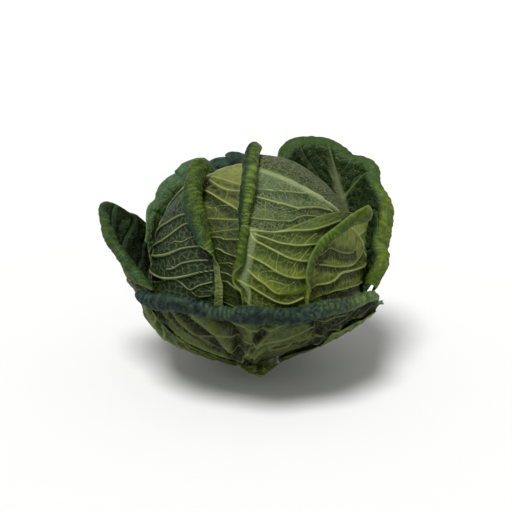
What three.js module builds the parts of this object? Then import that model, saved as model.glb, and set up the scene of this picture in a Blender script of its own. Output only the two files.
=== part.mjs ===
// A savoy cabbage as picked: a round head of overlapping crinkled leaves on a cut stump, held in a
// loose bowl of outer leaves whose rims roll outward.
//
// Millimetres, +Z up. The origin is the middle of the stump's cut face, which the cabbage stands on.
// The head faces -Y, and an azimuth is counted from -Y towards +X.
//
// Every leaf is one closed sheet. It is spread between guide lines that run from its root to its tip,
// side by side from its left edge to its right one. A leaf of the head gives them as degrees on the
// head, across and up from the azimuth it faces, with its lift off the head's surface. An outer leaf
// gives them as azimuth, radius and height. Side veins are raised, the blade sinks between
// them, and the sheet's rim curls away from the head into a roll where the leaf has one.
import * as THREE from 'three';

const { degToRad, clamp, lerp } = THREE.MathUtils;

// Driving dimensions
const HEAD_RADIUS = 84;
const HEAD_UP = 94; // from the widest level to the crown
const HEAD_DOWN = 50; // from the widest level to the head's foot
const HEAD_LEVEL = 74; // height of the widest level above the stump's cut face
const LAYER = 3.6; // room that one leaf of the head takes on top of the next
const BLADE = 1.0; // thickness of a leaf between its veins
const STEPS = 8; // cuts across a leaf's blade
const ROLL_STEPS = 5; // cuts round a rim's roll
const STUMP_RADIUS = 16;
const STUMP_HEIGHT = 41.5;

// The net of veins
const HEAD_RELIEF = 1; // how far a vein stands out, and the blade sinks, on the head's leaves
const ROOT_RELIEF = 0.3; // the same at the root of an outer leaf
const RIM_RELIEF = 1.3; // and at its rim
const CROSS_VEIN = -0.2; // what a cross vein leaves of the blade's sinking
const SMOOTH_EDGE = 0.1; // share of a leaf at each edge where the net fades out

// The rims
const LEAST_ROLL = 2.5; // the strip that a rim's roll takes at least
const FLATTEST_TURN = 0.05; // radians, for a roll that lies flat
const NUDGE = 0.004; // share of a leaf over which its directions are taken

// Lifts of the head's leaves, from the outermost inwards
const OUTER = 0;
const SECOND = -LAYER;
const THIRD = -2 * LAYER;
const FOURTH = -3 * LAYER;
const FIFTH = -4 * LAYER;
const HEART_LIFT = -5 * LAYER;

// Colours of the leaves, from yellow where the light never reached to blue where wax covers them
const COLOURS = {
  pale: 0x8d9a4a,
  heart: 0x9aa65a,
  fresh: 0x6f8a3a,
  waxy: 0x5f7d5a,
  dark: 0x2f5230,
  blue: 0x35585a,
  under: 0x4c6236,
  stump: 0xb9b48a,
};

// A point of the head's surface, raised off it by lift
function onHead(facing, across, up, lift) {
  const a = degToRad(across);
  const u = degToRad(up);
  const side = Math.sin(a);
  const front = Math.cos(a) * Math.cos(u);
  const high = Math.cos(a) * Math.sin(u);
  const turn = degToRad(facing);
  const x = side * Math.cos(turn) + front * Math.sin(turn);
  const y = side * Math.sin(turn) - front * Math.cos(turn);
  const tall = high > 0 ? HEAD_UP : HEAD_DOWN;
  const normal = new THREE.Vector3(x / HEAD_RADIUS, y / HEAD_RADIUS, high / tall).normalize();
  return new THREE.Vector3(HEAD_RADIUS * x, HEAD_RADIUS * y, HEAD_LEVEL + tall * high)
    .addScaledVector(normal, lift);
}

// A point at an azimuth, radius and height
function around(azimuth, radius, height) {
  const a = degToRad(azimuth);
  return new THREE.Vector3(radius * Math.sin(a), -radius * Math.cos(a), height);
}

// A smooth line through the given points, at a share from 0 to 1 of its length
function along(points, share) {
  const last = points.length - 1;
  const place = clamp(share, 0, 1) * last;
  const i = Math.min(Math.floor(place), last - 1);
  const f = place - i;
  const b = points[i];
  const c = points[i + 1];
  return b.map((_, k) => {
    const before = i > 0 ? points[i - 1][k] : 2 * b[k] - c[k];
    const after = i + 2 <= last ? points[i + 2][k] : 2 * c[k] - b[k];
    const bend = 2 * before - 5 * b[k] + 4 * c[k] - after;
    const twist = 3 * (b[k] - c[k]) + after - before;
    return b[k] + 0.5 * f * (c[k] - before + f * (bend + f * twist));
  });
}

// A value that changes evenly through a list, at a share from 0 to 1
function through(list, share) {
  const place = clamp(share, 0, 1) * (list.length - 1);
  const i = Math.min(Math.floor(place), list.length - 2);
  return lerp(list[i], list[i + 1], place - i);
}

// The leaf's smooth surface, at shares of the way from root to tip and from its first guide to its last
function surface(leaf, rise, share) {
  const place = along(leaf.guides.map((guide) => along(guide, rise)), share);
  if (leaf.facing !== undefined) {
    const [across, up, lift] = place;
    return onHead(leaf.facing, across, up, lift + (leaf.tuck ?? 0) * share * (1 - rise));
  }
  const { size, count, phase } = leaf.wave;
  const swell = size * rise ** 2 * Math.sin(Math.PI * (2 * count * share + phase));
  const [azimuth, radius, height] = place;
  return around(azimuth, radius + swell, height + swell);
}

// Veins that run across a leaf of the head are lines of equal rise; those of an outer leaf fan out
// from its root and are lines of equal side. So a place is given as its share across the veins and
// its share along them, and the rim's roll is at the end of the veins.
function spot(leaf, over, out) {
  return leaf.facing === undefined ? surface(leaf, out, over) : surface(leaf, over, out);
}

// The sheet at a place: its point, its outward normal, and the directions over and out
function sheetAt(leaf, over, out) {
  const o = clamp(over, NUDGE, 1 - NUDGE);
  const p = clamp(out, NUDGE, 1 - NUDGE);
  const overWay = spot(leaf, o + NUDGE, p).sub(spot(leaf, o - NUDGE, p)).normalize();
  const outWay = spot(leaf, o, p + NUDGE).sub(spot(leaf, o, p - NUDGE)).normalize();
  const normal = new THREE.Vector3().crossVectors(overWay, outWay).normalize();
  if (leaf.facing !== undefined) normal.negate();
  return { point: spot(leaf, over, out), normal, overWay, outWay };
}

// The leaf's net of raised veins, as a shift along the normal. Side veins stand up all along, the
// blade sinks between them, and short cross veins break each sunk strip into cells, staggered from
// strip to strip.
function relief(leaf, over, out) {
  const vein = Math.cos(2 * Math.PI * leaf.veins * over);
  const strip = Math.floor(leaf.veins * over);
  const link = Math.cos(Math.PI * ((leaf.steps ?? STEPS) * out + strip));
  const net = vein > 0 ? vein : vein * lerp(1, CROSS_VEIN, (link + 1) / 2);
  const fade = Math.min(1, over / SMOOTH_EDGE, (1 - over) / SMOOTH_EDGE);
  const onOuter = lerp(ROOT_RELIEF, RIM_RELIEF, out);
  const height = leaf.facing === undefined ? onOuter : leaf.relief ?? HEAD_RELIEF;
  return height * net * fade;
}

// How much thicker the leaf is on its main rib, on its outer face. The rib lies along the veins at
// a share over, or across them at a share out.
function ribRise({ rib }, over, out) {
  if (!rib) return 0;
  const offset = rib.over === undefined ? out - rib.out : over - rib.over;
  const run = rib.over === undefined ? over : out;
  return through(rib.rise, run) * Math.max(0, 1 - Math.abs(offset) / rib.half);
}

// A place on the roll at one end of the veins: turned by a share of its whole turn
function rolled(leaf, over, end, roll, share) {
  const { point, normal, overWay, outWay } = sheetAt(leaf, over, end);
  const ahead = new THREE.Vector3().crossVectors(normal, overWay).normalize();
  if (ahead.dot(outWay) * (end === 1 ? 1 : -1) < 0) ahead.negate();
  const turn = Math.max(degToRad(through(roll.turn, over)), FLATTEST_TURN);
  const reach = Math.max(through(roll.radius, over) * turn, roll.least ?? LEAST_ROLL);
  const radius = reach / turn;
  const angle = turn * share;
  point.addScaledVector(ahead, radius * Math.sin(angle));
  point.addScaledVector(normal, radius * (1 - Math.cos(angle)));
  normal.multiplyScalar(Math.cos(angle)).addScaledVector(ahead, -Math.sin(angle));
  return { point, normal };
}

// The grid of the sheet's middle, with the blade's two half thicknesses
function sheetGrid(leaf) {
  const steps = leaf.steps ?? STEPS;
  const shares = (count) => Array.from({ length: count + 1 }, (_, i) => i / count);
  return shares(2 * leaf.veins).map((over) => {
    const line = [];
    const add = ({ point, normal }, shift, rib) => {
      point.addScaledVector(normal, shift);
      line.push({ point, normal, outer: BLADE / 2 + rib, inner: BLADE / 2 });
    };
    if (leaf.startRoll) {
      for (let k = ROLL_STEPS; k >= 1; k--) {
        const place = rolled(leaf, over, 0, leaf.startRoll, k / ROLL_STEPS);
        add(place, relief(leaf, over, 0.5), 0);
      }
    }
    for (const out of shares(steps)) {
      add(sheetAt(leaf, over, out), relief(leaf, over, out), ribRise(leaf, over, out));
    }
    if (leaf.endRoll) {
      for (let k = 1; k <= ROLL_STEPS; k++) {
        add(rolled(leaf, over, 1, leaf.endRoll, k / ROLL_STEPS), relief(leaf, over, 1), 0);
      }
    }
    return line;
  });
}

function solid(positions, index) {
  const geometry = new THREE.BufferGeometry();
  geometry.setAttribute('position', new THREE.Float32BufferAttribute(positions, 3));
  geometry.setIndex(index);
  return geometry;
}

// The closed solid of a leaf: its outer face, its inner face and the rim between them
function leafGeometry(leaf) {
  const grid = sheetGrid(leaf);
  const rows = grid.length;
  const columns = grid[0].length;
  const positions = [];
  for (const face of [1, -1]) {
    for (const line of grid) {
      for (const { point, normal, outer, inner } of line) {
        const place = point.clone().addScaledVector(normal, face > 0 ? outer : -inner);
        positions.push(place.x, place.y, place.z);
      }
    }
  }
  const below = rows * columns;
  const index = [];
  const flip = leaf.facing !== undefined;
  const triangle = (a, b, c) => index.push(...(flip ? [a, c, b] : [a, b, c]));
  for (let i = 0; i + 1 < rows; i++) {
    for (let j = 0; j + 1 < columns; j++) {
      const a = i * columns + j;
      const [b, c, d] = [a + columns, a + columns + 1, a + 1];
      triangle(a, b, c);
      triangle(a, c, d);
      triangle(below + a, below + c, below + b);
      triangle(below + a, below + d, below + c);
    }
  }
  const rim = [];
  for (let j = 0; j + 1 < columns; j++) rim.push(j);
  for (let i = 0; i + 1 < rows; i++) rim.push(i * columns + columns - 1);
  for (let j = columns - 1; j > 0; j--) rim.push((rows - 1) * columns + j);
  for (let i = rows - 1; i > 0; i--) rim.push(i * columns);
  rim.forEach((a, k) => {
    const b = rim[(k + 1) % rim.length];
    triangle(a, b, below + b);
    triangle(a, below + b, below + a);
  });
  return solid(positions, index);
}

// Leaves of the head. Each guide is a list of [degrees across, degrees up] from root to tip, at the
// leaf's lift off the head; a third number is the lift of that point alone.
const frontLeaf = {
  name: 'head_leaf_front',
  colour: COLOURS.fresh,
  facing: 0,
  lift: OUTER,
  guides: [
    [[-4, -78], [-6, -40], [-5, 3], [-9, 12], [-7, 21], [-6, 29], [-5, 35]],
    [[0, -79], [2, -42], [5, 1], [7, 8], [9, 16], [12, 26], [14, 35]],
    [[10, -78], [22, -40], [22, -2], [23, 8], [24, 18], [28, 27], [35, 37, 1], [50, 55, 8]],
  ],
  veins: 9,
  steps: 10,
  rib: { out: 0.1, rise: [1.6, 1.4, 1.6, 1.2, 0.8], half: 0.1 },
  startRoll: { radius: [2, 2, 2, 3, 2.8, 2.4, 2.6], turn: [5, 5, 10, 60, 280, 285, 280] },
  endRoll: {
    radius: [3, 3, 3, 2.4, 2.6, 2.8, 3.2, 3.8, 4.6],
    turn: [5, 5, 10, 120, 240, 250, 240, 225, 240],
    least: 4,
  },
};

const crownLeaf = {
  name: 'head_leaf_crown',
  colour: COLOURS.waxy,
  facing: 0,
  lift: SECOND,
  guides: [
    [[-6, 31], [-6, 40], [-5, 47], [-4, 54], [-3.4, 62], [-3, 70], [-2, 82], [-1, 93], [-2, 100]],
    [[22, 31], [23, 40.5], [24, 48], [23, 54], [23, 58], [24, 61.6], [30, 78], [32, 98], [30, 116]],
    [[45, 41], [47, 48], [49, 54], [50, 58], [50.5, 59.8], [51, 61], [56, 72], [62, 92], [60, 116]],
  ],
  tuck: THIRD - SECOND,
  veins: 8,
  rib: { over: 0.625, rise: [0.6, 1.2, 1.8, 2.4], half: 0.06 },
  startRoll: {
    radius: [2.5, 3, 4, 4.4, 4.7, 5, 5, 5, 5, 5, 5, 5, 4.9, 4.8, 4.6, 4.2, 3.6],
    turn: [5, 20, 280, 285, 285, 285, 285, 285, 285, 285, 285, 285, 285, 285, 285, 285, 285],
  },
};

const centreLeaf = {
  name: 'head_leaf_centre',
  colour: COLOURS.pale,
  facing: 0,
  lift: THIRD,
  guides: [
    [[-14, -77], [-32, -40], [-37, 12], [-37, 38], [-37, 52], [-35, 70], [-30, 89]],
    [[-7, -78], [-15, -42], [-16, 5], [-16, 30], [-16, 41], [-15, 55], [-15, 87]],
    [[0, -77], [2, -40], [4, -3], [4, 20], [4, 33], [3, 48], [2, 81]],
  ],
  veins: 8,
};

const leftLeaf = {
  name: 'head_leaf_left',
  colour: COLOURS.waxy,
  facing: -45,
  lift: SECOND,
  guides: [
    [[-10, -77], [-40, -40], [-60, 0], [-64, 20], [-64, 38], [-58, 58], [-46, 74]],
    [[0, -78], [-8, -40], [-12, 5], [-14, 17], [-15, 29], [-20, 45], [-28, 66]],
    [[10, -77], [22, -40], [23, 3], [22, 13], [19, 23], [13, 31], [-1, 45], [-15, 65]],
  ],
  veins: 9,
  endRoll: { radius: [4, 4, 5, 5, 5, 6.4, 6.2], turn: [5, 8, 12, 40, 250, 270, 285], least: 8 },
};

const rightLeaf = {
  name: 'head_leaf_right',
  colour: COLOURS.pale,
  facing: 45,
  lift: SECOND,
  guides: [
    [[-8, -77], [-30, -40], [-32, -4], [-32, 6], [-31, 14], [-28, 22]],
    [[4, -78], [8, -40], [10, 2], [11, 9], [13, 18], [18, 32, 0]],
    [[14, -77], [46, -40], [66, 0, -1], [66, 10, 1], [58, 23, 4], [42, 35, 8]],
  ],
  veins: 8,
  relief: 1.3,
};

// The leaves at the back of the head are plain ones, the same on both sides of their middle
const backLeaf = (name, facing, lift) => ({
  name,
  colour: COLOURS.fresh,
  facing,
  lift,
  guides: [
    [[-8, -77], [-34, -40], [-48, 0], [-48, 28], [-38, 54], [-20, 72]],
    [[0, -79], [0, -44], [0, -8], [0, 20], [0, 48], [0, 76]],
    [[8, -77], [34, -40], [48, 0], [48, 28], [38, 54], [20, 72]],
  ],
  veins: 7,
  rib: { out: 0.5, rise: [2, 1.4, 1.0, 0.6], half: 0.12 },
});

// Outer leaves. Each guide point is [azimuth, radius, height].
const frontWrapper = {
  name: 'outer_leaf_front',
  colour: COLOURS.blue,
  guides: [
    [[-40, 17.4, 9.5], [-50, 46, 24.5], [-57, 69, 38], [-61, 85, 55.5], [-62, 90, 72]],
    [[-24, 17.4, 9], [-28, 46, 21.5], [-31, 69, 37], [-32, 85, 56], [-32, 91, 78]],
    [[-4, 17.4, 8.5], [-2, 44, 21.5], [-1, 68, 37], [0, 85, 55], [0, 91, 75.5]],
    [[18, 17.4, 9.5], [26, 44, 25], [30, 67, 39], [32, 84, 56.5], [32, 91, 76]],
    [[32, 17.4, 11], [48, 44, 27], [54, 69, 41], [57, 86, 57], [57, 93, 74]],
    [[42, 17.4, 12], [60, 46, 28], [69, 71, 43], [73, 87, 53], [75, 95, 61]],
  ],
  veins: 10,
  rib: { over: 0.4, rise: [3.2, 2.6, 1.8, 1.0, 0.4], half: 0.05 },
  wave: { size: 1.6, count: 5, phase: 0.6 },
  endRoll: {
    radius: [3.8, 5.5, 4.7, 4.1, 5.6, 5, 4.8, 3.8, 3, 2.4, 2],
    turn: [285, 285, 285, 285, 285, 285, 275, 250, 200, 150, 120],
  },
};

const leftWrapper = {
  name: 'outer_leaf_left',
  colour: COLOURS.dark,
  guides: [
    [[-114, 17.4, 7.5], [-118, 47, 18.5], [-120, 77, 37], [-121, 94, 60], [-120, 101, 98]],
    [[-104, 17.4, 8], [-106, 47, 21], [-107, 76, 39.5], [-108, 95, 66], [-108, 103, 112]],
    [[-92, 17.4, 8.5], [-92, 47, 24], [-93, 77, 43], [-95, 102, 74], [-97, 116.5, 122]],
    [[-78, 17.4, 10], [-74, 46, 26], [-74, 73, 43.5], [-74, 91.5, 67], [-74, 97, 94]],
    [[-68, 17.4, 12.5], [-62, 45, 28], [-58, 67.5, 41.5], [-57, 80.5, 59], [-58, 86.5, 76]],
  ],
  veins: 8,
  rib: { over: 0.5, rise: [3.2, 2.4, 1.6, 1.0, 0.4], half: 0.06 },
  wave: { size: 1.2, count: 4, phase: 1 },
  endRoll: { radius: [2, 2, 2, 2, 3, 3.6, 3.6, 2], turn: [30, 40, 60, 150, 270, 285, 270, 120] },
};

const backLeftWrapper = {
  name: 'outer_leaf_back_left',
  colour: COLOURS.dark,
  guides: [
    [[-158, 17.4, 12], [-162, 46, 25], [-164, 70, 42], [-163, 84, 82], [-157, 77, 140]],
    [[-148, 17.4, 12], [-150, 46, 25], [-151, 71, 42], [-148, 87, 84], [-146, 80.5, 140]],
    [[-138, 17.4, 12], [-138, 47, 25], [-138, 72, 42], [-136, 89, 82], [-134, 85.5, 129]],
    [[-128, 17.4, 12], [-124, 46, 26], [-122, 72, 43], [-122, 90, 76], [-122, 92.5, 114]],
    [[-118, 17.4, 12.5], [-112, 45, 27], [-107, 70, 44], [-107, 86, 68], [-109, 93, 100]],
  ],
  veins: 7,
  rib: { over: 0.5, rise: [3, 2.2, 1.4, 0.8, 0.4], half: 0.07 },
  wave: { size: 1.5, count: 4, phase: 0 },
  endRoll: { radius: [7, 9, 9, 6, 4], turn: [100, 125, 125, 90, 50] },
};

const backWrapper = {
  name: 'outer_leaf_back',
  colour: COLOURS.blue,
  guides: [
    [[-200, 17.4, 8], [-204, 47, 18], [-210, 75, 37], [-213, 93, 68], [-212, 99, 118]],
    [[-190, 17.4, 8], [-192, 47, 18], [-195, 76, 36], [-197, 94, 72], [-197, 95, 134]],
    [[-180, 17.4, 8], [-180, 47, 18], [-180, 76, 36], [-180, 93, 74], [-180, 88, 130]],
    [[-170, 17.4, 8], [-168, 47, 18.5], [-166, 76, 37], [-165, 94, 76], [-168, 89, 143]],
    [[-160, 17.4, 8], [-156, 47, 19], [-151, 75, 37], [-150, 95, 72], [-157, 92, 142]],
  ],
  veins: 8,
  rib: { over: 0.5, rise: [1.4, 1.8, 1.6, 1.0, 0.4], half: 0.06 },
  wave: { size: 1.8, count: 4, phase: 1 },
  endRoll: { radius: [6, 7, 8, 8, 7], turn: [120, 120, 110, 95, 80] },
};

const rightWrapper = {
  name: 'outer_leaf_right',
  colour: COLOURS.dark,
  guides: [
    [[84, 17.4, 13], [79, 45, 30], [73, 68, 44.5], [71, 83, 58.5], [72, 87, 70]],
    [[96, 17.4, 12], [94, 46, 29], [92, 72, 46], [91, 86, 68], [91, 91, 97]],
    [[112, 17.4, 10], [112, 48, 25], [112, 76, 43], [113, 94, 78], [113, 99.5, 134]],
    [[124, 17.4, 10], [126, 47, 24], [128, 75, 42], [131, 94, 84], [132, 98, 149]],
    [[135, 17.4, 11], [140, 46, 24], [144, 72, 42], [147, 88, 88], [149, 81, 159]],
    [[146, 17.4, 12], [150, 45, 25], [156, 70, 42], [159, 80, 92], [159, 68, 149]],
  ],
  veins: 10,
  rib: { over: 0.6, rise: [3.6, 2.8, 2.2, 1.4, 0.6], half: 0.05 },
  wave: { size: 1.6, count: 5, phase: 1.4 },
  endRoll: { radius: [4, 5, 5, 5, 7, 8.5, 9, 6], turn: [250, 285, 285, 270, 180, 130, 120, 110] },
};

const underLeftLeaf = {
  name: 'under_leaf_left',
  colour: COLOURS.under,
  guides: [
    [[-84, 17.4, 5], [-88, 48, 18.5], [-90, 74, 36], [-88, 90, 53]],
    [[-58, 17.4, 4.5], [-60, 50, 20.5], [-61, 77, 39], [-61, 94, 62]],
    [[-37, 17.4, 5], [-38, 42, 18], [-44, 66, 31.5], [-52, 86, 44.5]],
  ],
  veins: 6,
  rib: { over: 0.5, rise: [2.6, 2, 1.4, 0.6], half: 0.08 },
  wave: { size: 1.5, count: 4, phase: 0.5 },
};

const underRightLeaf = {
  name: 'under_leaf_right',
  colour: COLOURS.under,
  guides: [
    [[72, 17.4, 7], [66, 46, 21.5], [56, 62, 33], [49, 77, 39.5]],
    [[80, 17.4, 5], [74, 49, 20], [70, 76, 37], [68, 92, 51]],
    [[98, 17.4, 5], [96, 50, 17.5], [94, 78, 35], [86, 98, 60]],
  ],
  veins: 6,
  rib: { over: 0.5, rise: [2.6, 2, 1.4, 0.6], half: 0.08 },
  wave: { size: 1.5, count: 4, phase: 2.5 },
};

const underBackLeaf = {
  name: 'under_leaf_back',
  colour: COLOURS.under,
  guides: [
    [[132, 17.4, 5], [134, 50, 13.5], [136, 78, 31], [140, 96, 52]],
    [[168, 17.4, 4.5], [170, 50, 13], [171, 80, 30], [172, 98, 56]],
    [[204, 17.4, 5], [206, 50, 13.5], [206, 78, 31], [204, 95, 52]],
  ],
  veins: 6,
  rib: { over: 0.5, rise: [2.6, 2, 1.4, 0.6], half: 0.08 },
  wave: { size: 1.5, count: 4, phase: 1.5 },
};

const footScale = {
  name: 'foot_scale',
  colour: COLOURS.fresh,
  guides: [
    [[-30, 18.5, 4], [-24, 30, 9], [-16, 39, 13]],
    [[4, 18.2, 2.4], [8, 32, 8], [12, 45, 14.5]],
    [[30, 18.5, 4], [28, 31, 10.5], [24, 40, 16]],
  ],
  veins: 3,
  steps: 4,
  wave: { size: 0.8, count: 3, phase: 0 },
};

// The head's guides with every lift written out
function withLift(leaf) {
  const full = ([across, up, lift = leaf.lift]) => [across, up, lift];
  return leaf.facing === undefined ? leaf : { ...leaf, guides: leaf.guides.map((g) => g.map(full)) };
}

const LEAVES = [
  frontLeaf, crownLeaf, centreLeaf, leftLeaf, rightLeaf,
  backLeaf('head_leaf_back_left', -140, FOURTH), backLeaf('head_leaf_back_right', 130, FIFTH),
  frontWrapper, leftWrapper, backLeftWrapper, backWrapper, rightWrapper,
  underLeftLeaf, underRightLeaf, underBackLeaf, footScale,
].map(withLift);

// The packed inner leaves of the head, whose edges show as ridges that wind up to the crown
const HEART_SIDES = 28;
const HEART_LEVELS = 14;
const HEART_WINDINGS = 3;
const HEART_RIDGE = 1.2;

function heartGeometry() {
  const positions = [];
  const index = [];
  const add = (azimuth, up, lift) => positions.push(...onHead(azimuth, 0, up, HEART_LIFT + lift));
  add(0, -90, 0);
  for (let i = 1; i < HEART_LEVELS; i++) {
    for (let j = 0; j < HEART_SIDES; j++) {
      const winding = ((j / HEART_SIDES) * HEART_WINDINGS + i / HEART_LEVELS) % 1;
      add((360 * j) / HEART_SIDES, -90 + (180 * i) / HEART_LEVELS, -HEART_RIDGE * winding);
    }
  }
  add(0, 90, 0);
  const ring = (i, j) => 1 + (i - 1) * HEART_SIDES + (j % HEART_SIDES);
  const top = 1 + (HEART_LEVELS - 1) * HEART_SIDES;
  for (let j = 0; j < HEART_SIDES; j++) {
    index.push(0, ring(1, j + 1), ring(1, j));
    index.push(top, ring(HEART_LEVELS - 1, j), ring(HEART_LEVELS - 1, j + 1));
    for (let i = 1; i + 1 < HEART_LEVELS; i++) {
      index.push(ring(i, j), ring(i, j + 1), ring(i + 1, j + 1));
      index.push(ring(i, j), ring(i + 1, j + 1), ring(i + 1, j));
    }
  }
  return solid(positions, index);
}

// The cut stump, flat underneath, a little narrower where the leaves leave it
function stumpGeometry() {
  const profile = [
    [0, 0], [STUMP_RADIUS - 1, 0], [STUMP_RADIUS, 1.2], [STUMP_RADIUS - 0.5, 7],
    [STUMP_RADIUS - 1, 18], [STUMP_RADIUS - 2, STUMP_HEIGHT], [0, STUMP_HEIGHT],
  ].map(([r, z]) => new THREE.Vector2(r, z));
  return new THREE.LatheGeometry(profile, 24).rotateX(Math.PI / 2);
}

function named(name, geometry, colour, roughness) {
  const material = new THREE.MeshStandardMaterial({ color: colour, roughness, metalness: 0 });
  const mesh = new THREE.Mesh(geometry, material);
  mesh.name = name;
  return mesh;
}

const cabbage = new THREE.Group();
cabbage.add(named('stump', stumpGeometry(), COLOURS.stump, 0.7));
cabbage.add(named('heart', heartGeometry(), COLOURS.heart, 0.55));
for (const leaf of LEAVES) cabbage.add(named(leaf.name, leafGeometry(leaf), leaf.colour, 0.55));

export default cabbage;
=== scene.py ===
"""The looks of a savoy cabbage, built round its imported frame.

Every leaf is spread again between the guide lines that its solid has, on a much finer grid, with
the net of veins that a savoy has. Lengths are millimetres until a mesh is made. A head leaf's
places are degrees across and up from the azimuth it faces, an outer leaf's are azimuth, radius and
height.
"""

import math

import bpy
import numpy as np
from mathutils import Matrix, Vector


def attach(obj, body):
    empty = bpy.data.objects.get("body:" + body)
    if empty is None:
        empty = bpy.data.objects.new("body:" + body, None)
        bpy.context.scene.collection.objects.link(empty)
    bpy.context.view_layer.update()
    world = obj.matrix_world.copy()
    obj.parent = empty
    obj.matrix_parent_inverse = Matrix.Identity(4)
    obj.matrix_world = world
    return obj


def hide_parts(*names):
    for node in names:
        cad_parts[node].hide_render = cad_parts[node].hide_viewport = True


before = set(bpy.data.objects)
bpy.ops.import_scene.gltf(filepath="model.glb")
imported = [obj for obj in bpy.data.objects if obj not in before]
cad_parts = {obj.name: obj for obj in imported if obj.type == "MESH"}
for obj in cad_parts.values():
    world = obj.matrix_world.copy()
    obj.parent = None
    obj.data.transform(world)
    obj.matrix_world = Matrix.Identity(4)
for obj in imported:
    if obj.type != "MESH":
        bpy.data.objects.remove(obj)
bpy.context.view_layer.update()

MM = 0.001

# The head, as in its solids
HEAD_RADIUS = 84
HEAD_UP = 94
HEAD_DOWN = 50
HEAD_LEVEL = 74
LAYER = 3.6
BLADE = 1.0
OUTER, SECOND, THIRD, FOURTH, FIFTH = (-LAYER * k for k in range(5))
HEART_LIFT = -5 * LAYER

# Grids
GAP = 1.0  # how far apart a leaf's places are, unless it has its own gap
SHOWN = 55  # a head leaf is hidden below this height
HIDDEN_GAP = 2.5  # how much wider its gap is there
SAMPLES = 300  # at how many places a line is measured before it is cut
NUDGE = 0.004  # the step, in shares, that gives a sheet's directions
CORNER = 0.3  # over what share of its width an outer leaf's corner is rounded
LEAST_ROLL = 2.5  # the least length of leaf that a roll takes up
FLATTEST_TURN = 0.05  # the least angle that it turns, in radians
ROLL_GAP = 0.9  # how far apart its places are, to the leaf's own gap
ROLL_SWELLS = ((0.07, 9, 5), (0.05, 4, 6))  # how much its width changes, over what length, and a seed
LINE_POINTS = 24  # how many points a vein's or a fold's line gets

# Relief
PLEAT = 1.5  # how deep the blade folds in under a vein, to the depth listed for it
PLEAT_ABOVE = 0.3  # the same above it, to that below
RIDGE = 0.8  # how wide a vein is, to the half width listed for it
FOLD = 1.5  # how high an outer leaf's big folds are, to the height listed for them
DENT = 1.5  # how much wider its hollows are than listed
DEEPEST = 2.1  # how far a head leaf's blade sinks at most, so that it clears the next one
SWING = 0.5  # how far a blade swings in and out over SWING_SIZE
SWING_SIZE = 16
BENDS = (1.3, 9)  # how far the borders of cells wander, and over what length
ROLL_BENDS = (0.9, 8)
CALM = (0.2, 1.6)  # how far from a vein the blade's puffs and its net start and are full
CURL = (0.15, 0.9)  # at which turns the relief of a roll starts and takes over
FREE_EDGE = 7  # how far in from its edge a leaf is ragged
SOFT_EDGE = 2.5  # how far in from its edge it gets its full thickness
EDGE_BLADE = 0.45  # its thickness at the very edge, to that of the blade
SUNK_RIB = 0.7  # how much of the relief goes where the midrib's paint is full
STRIP = (0.9, 2.0, 1.2)  # a flat strip beside a roll: its height, and its groove's depth and width

# What the paint is told
FAR = 3  # distances to a vein or a groove, up to this
NO_VEIN = 30.0
FOLD_SHADE, DENT_SHADE, PUFF_SHADE = 0.55, 0.75, 0.2  # how much painted shade each one puts in the blade's hollows
PLAIN_SHADE = 0.12  # how much painted shade lies everywhere


def unit(v):
    return v / np.maximum(np.linalg.norm(v, axis=-1, keepdims=True), 1e-9)


def smooth(low, high, value):
    f = np.clip((value - low) / (high - low), 0, 1)
    return f * f * (3 - 2 * f)


def on_head(facing, across, up, lift):
    """Places on the head, a lift out from its outermost surface."""
    a, u, turn = np.radians(across), np.radians(up), math.radians(facing)
    side, front, high = np.sin(a), np.cos(a) * np.cos(u), np.cos(a) * np.sin(u)
    x = side * math.cos(turn) + front * math.sin(turn)
    y = side * math.sin(turn) - front * math.cos(turn)
    tall = np.where(high > 0, HEAD_UP, HEAD_DOWN)
    normal = unit(np.stack([x / HEAD_RADIUS, y / HEAD_RADIUS, high / tall], -1))
    place = np.stack([HEAD_RADIUS * x, HEAD_RADIUS * y, HEAD_LEVEL + tall * high], -1)
    return place + normal * np.asarray(lift, float)[..., None]


def on_ball(points):
    """Places moved in or out to the head's outermost surface."""
    wide = np.full(len(points), HEAD_RADIUS)
    tall = np.where(points[:, 2] > HEAD_LEVEL, HEAD_UP, HEAD_DOWN)
    size = np.stack([wide, wide, tall], -1)
    middle = np.array([0, 0, HEAD_LEVEL])
    return unit((points - middle) / size) * size + middle


def around(azimuth, radius, height):
    """Places round the stump, with azimuth 0 in front and 90 at the right."""
    a = np.radians(azimuth)
    return np.stack([radius * np.sin(a), -radius * np.cos(a), height], -1)


def along(points, share):
    """A smooth line through points, at shares from 0 to 1 of it. With three axes, the second one
    goes with the shares."""
    points = np.asarray(points, float)
    last = len(points) - 1
    place = np.clip(share, 0, 1) * last
    i = np.minimum(np.floor(place).astype(int), last - 1)
    f = (place - i)[:, None]
    longer = np.concatenate([[2 * points[0] - points[1]], points, [2 * points[-1] - points[-2]]])
    row = np.arange(len(share))
    a, b, c, d = (longer[i + k, row] if points.ndim == 3 else longer[i + k] for k in range(4))
    return b + 0.5 * f * (c - a + f * (2 * a - 5 * b + 4 * c - d + f * (3 * (b - c) + d - a)))


def through(values, share):
    return np.interp(share, np.linspace(0, 1, len(values)), values)


def mixed(cell, seed):
    """An even random number from 0 to 1 for every row of whole numbers."""
    h = np.full(cell.shape[:-1], (seed * 2654435761 + 97) & 0xFFFFFFFF, np.uint64)
    for k in range(cell.shape[-1]):
        h = (h ^ (cell[..., k].astype(np.int64) & 0xFFFFFFFF).astype(np.uint64)) * np.uint64(0x9E3779B1)
        h &= np.uint64(0xFFFFFFFF)
        h ^= h >> np.uint64(15)
        h = (h * np.uint64(0x85EBCA6B)) & np.uint64(0xFFFFFFFF)
        h ^= h >> np.uint64(13)
    return h.astype(float) / 0xFFFFFFFF


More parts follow.
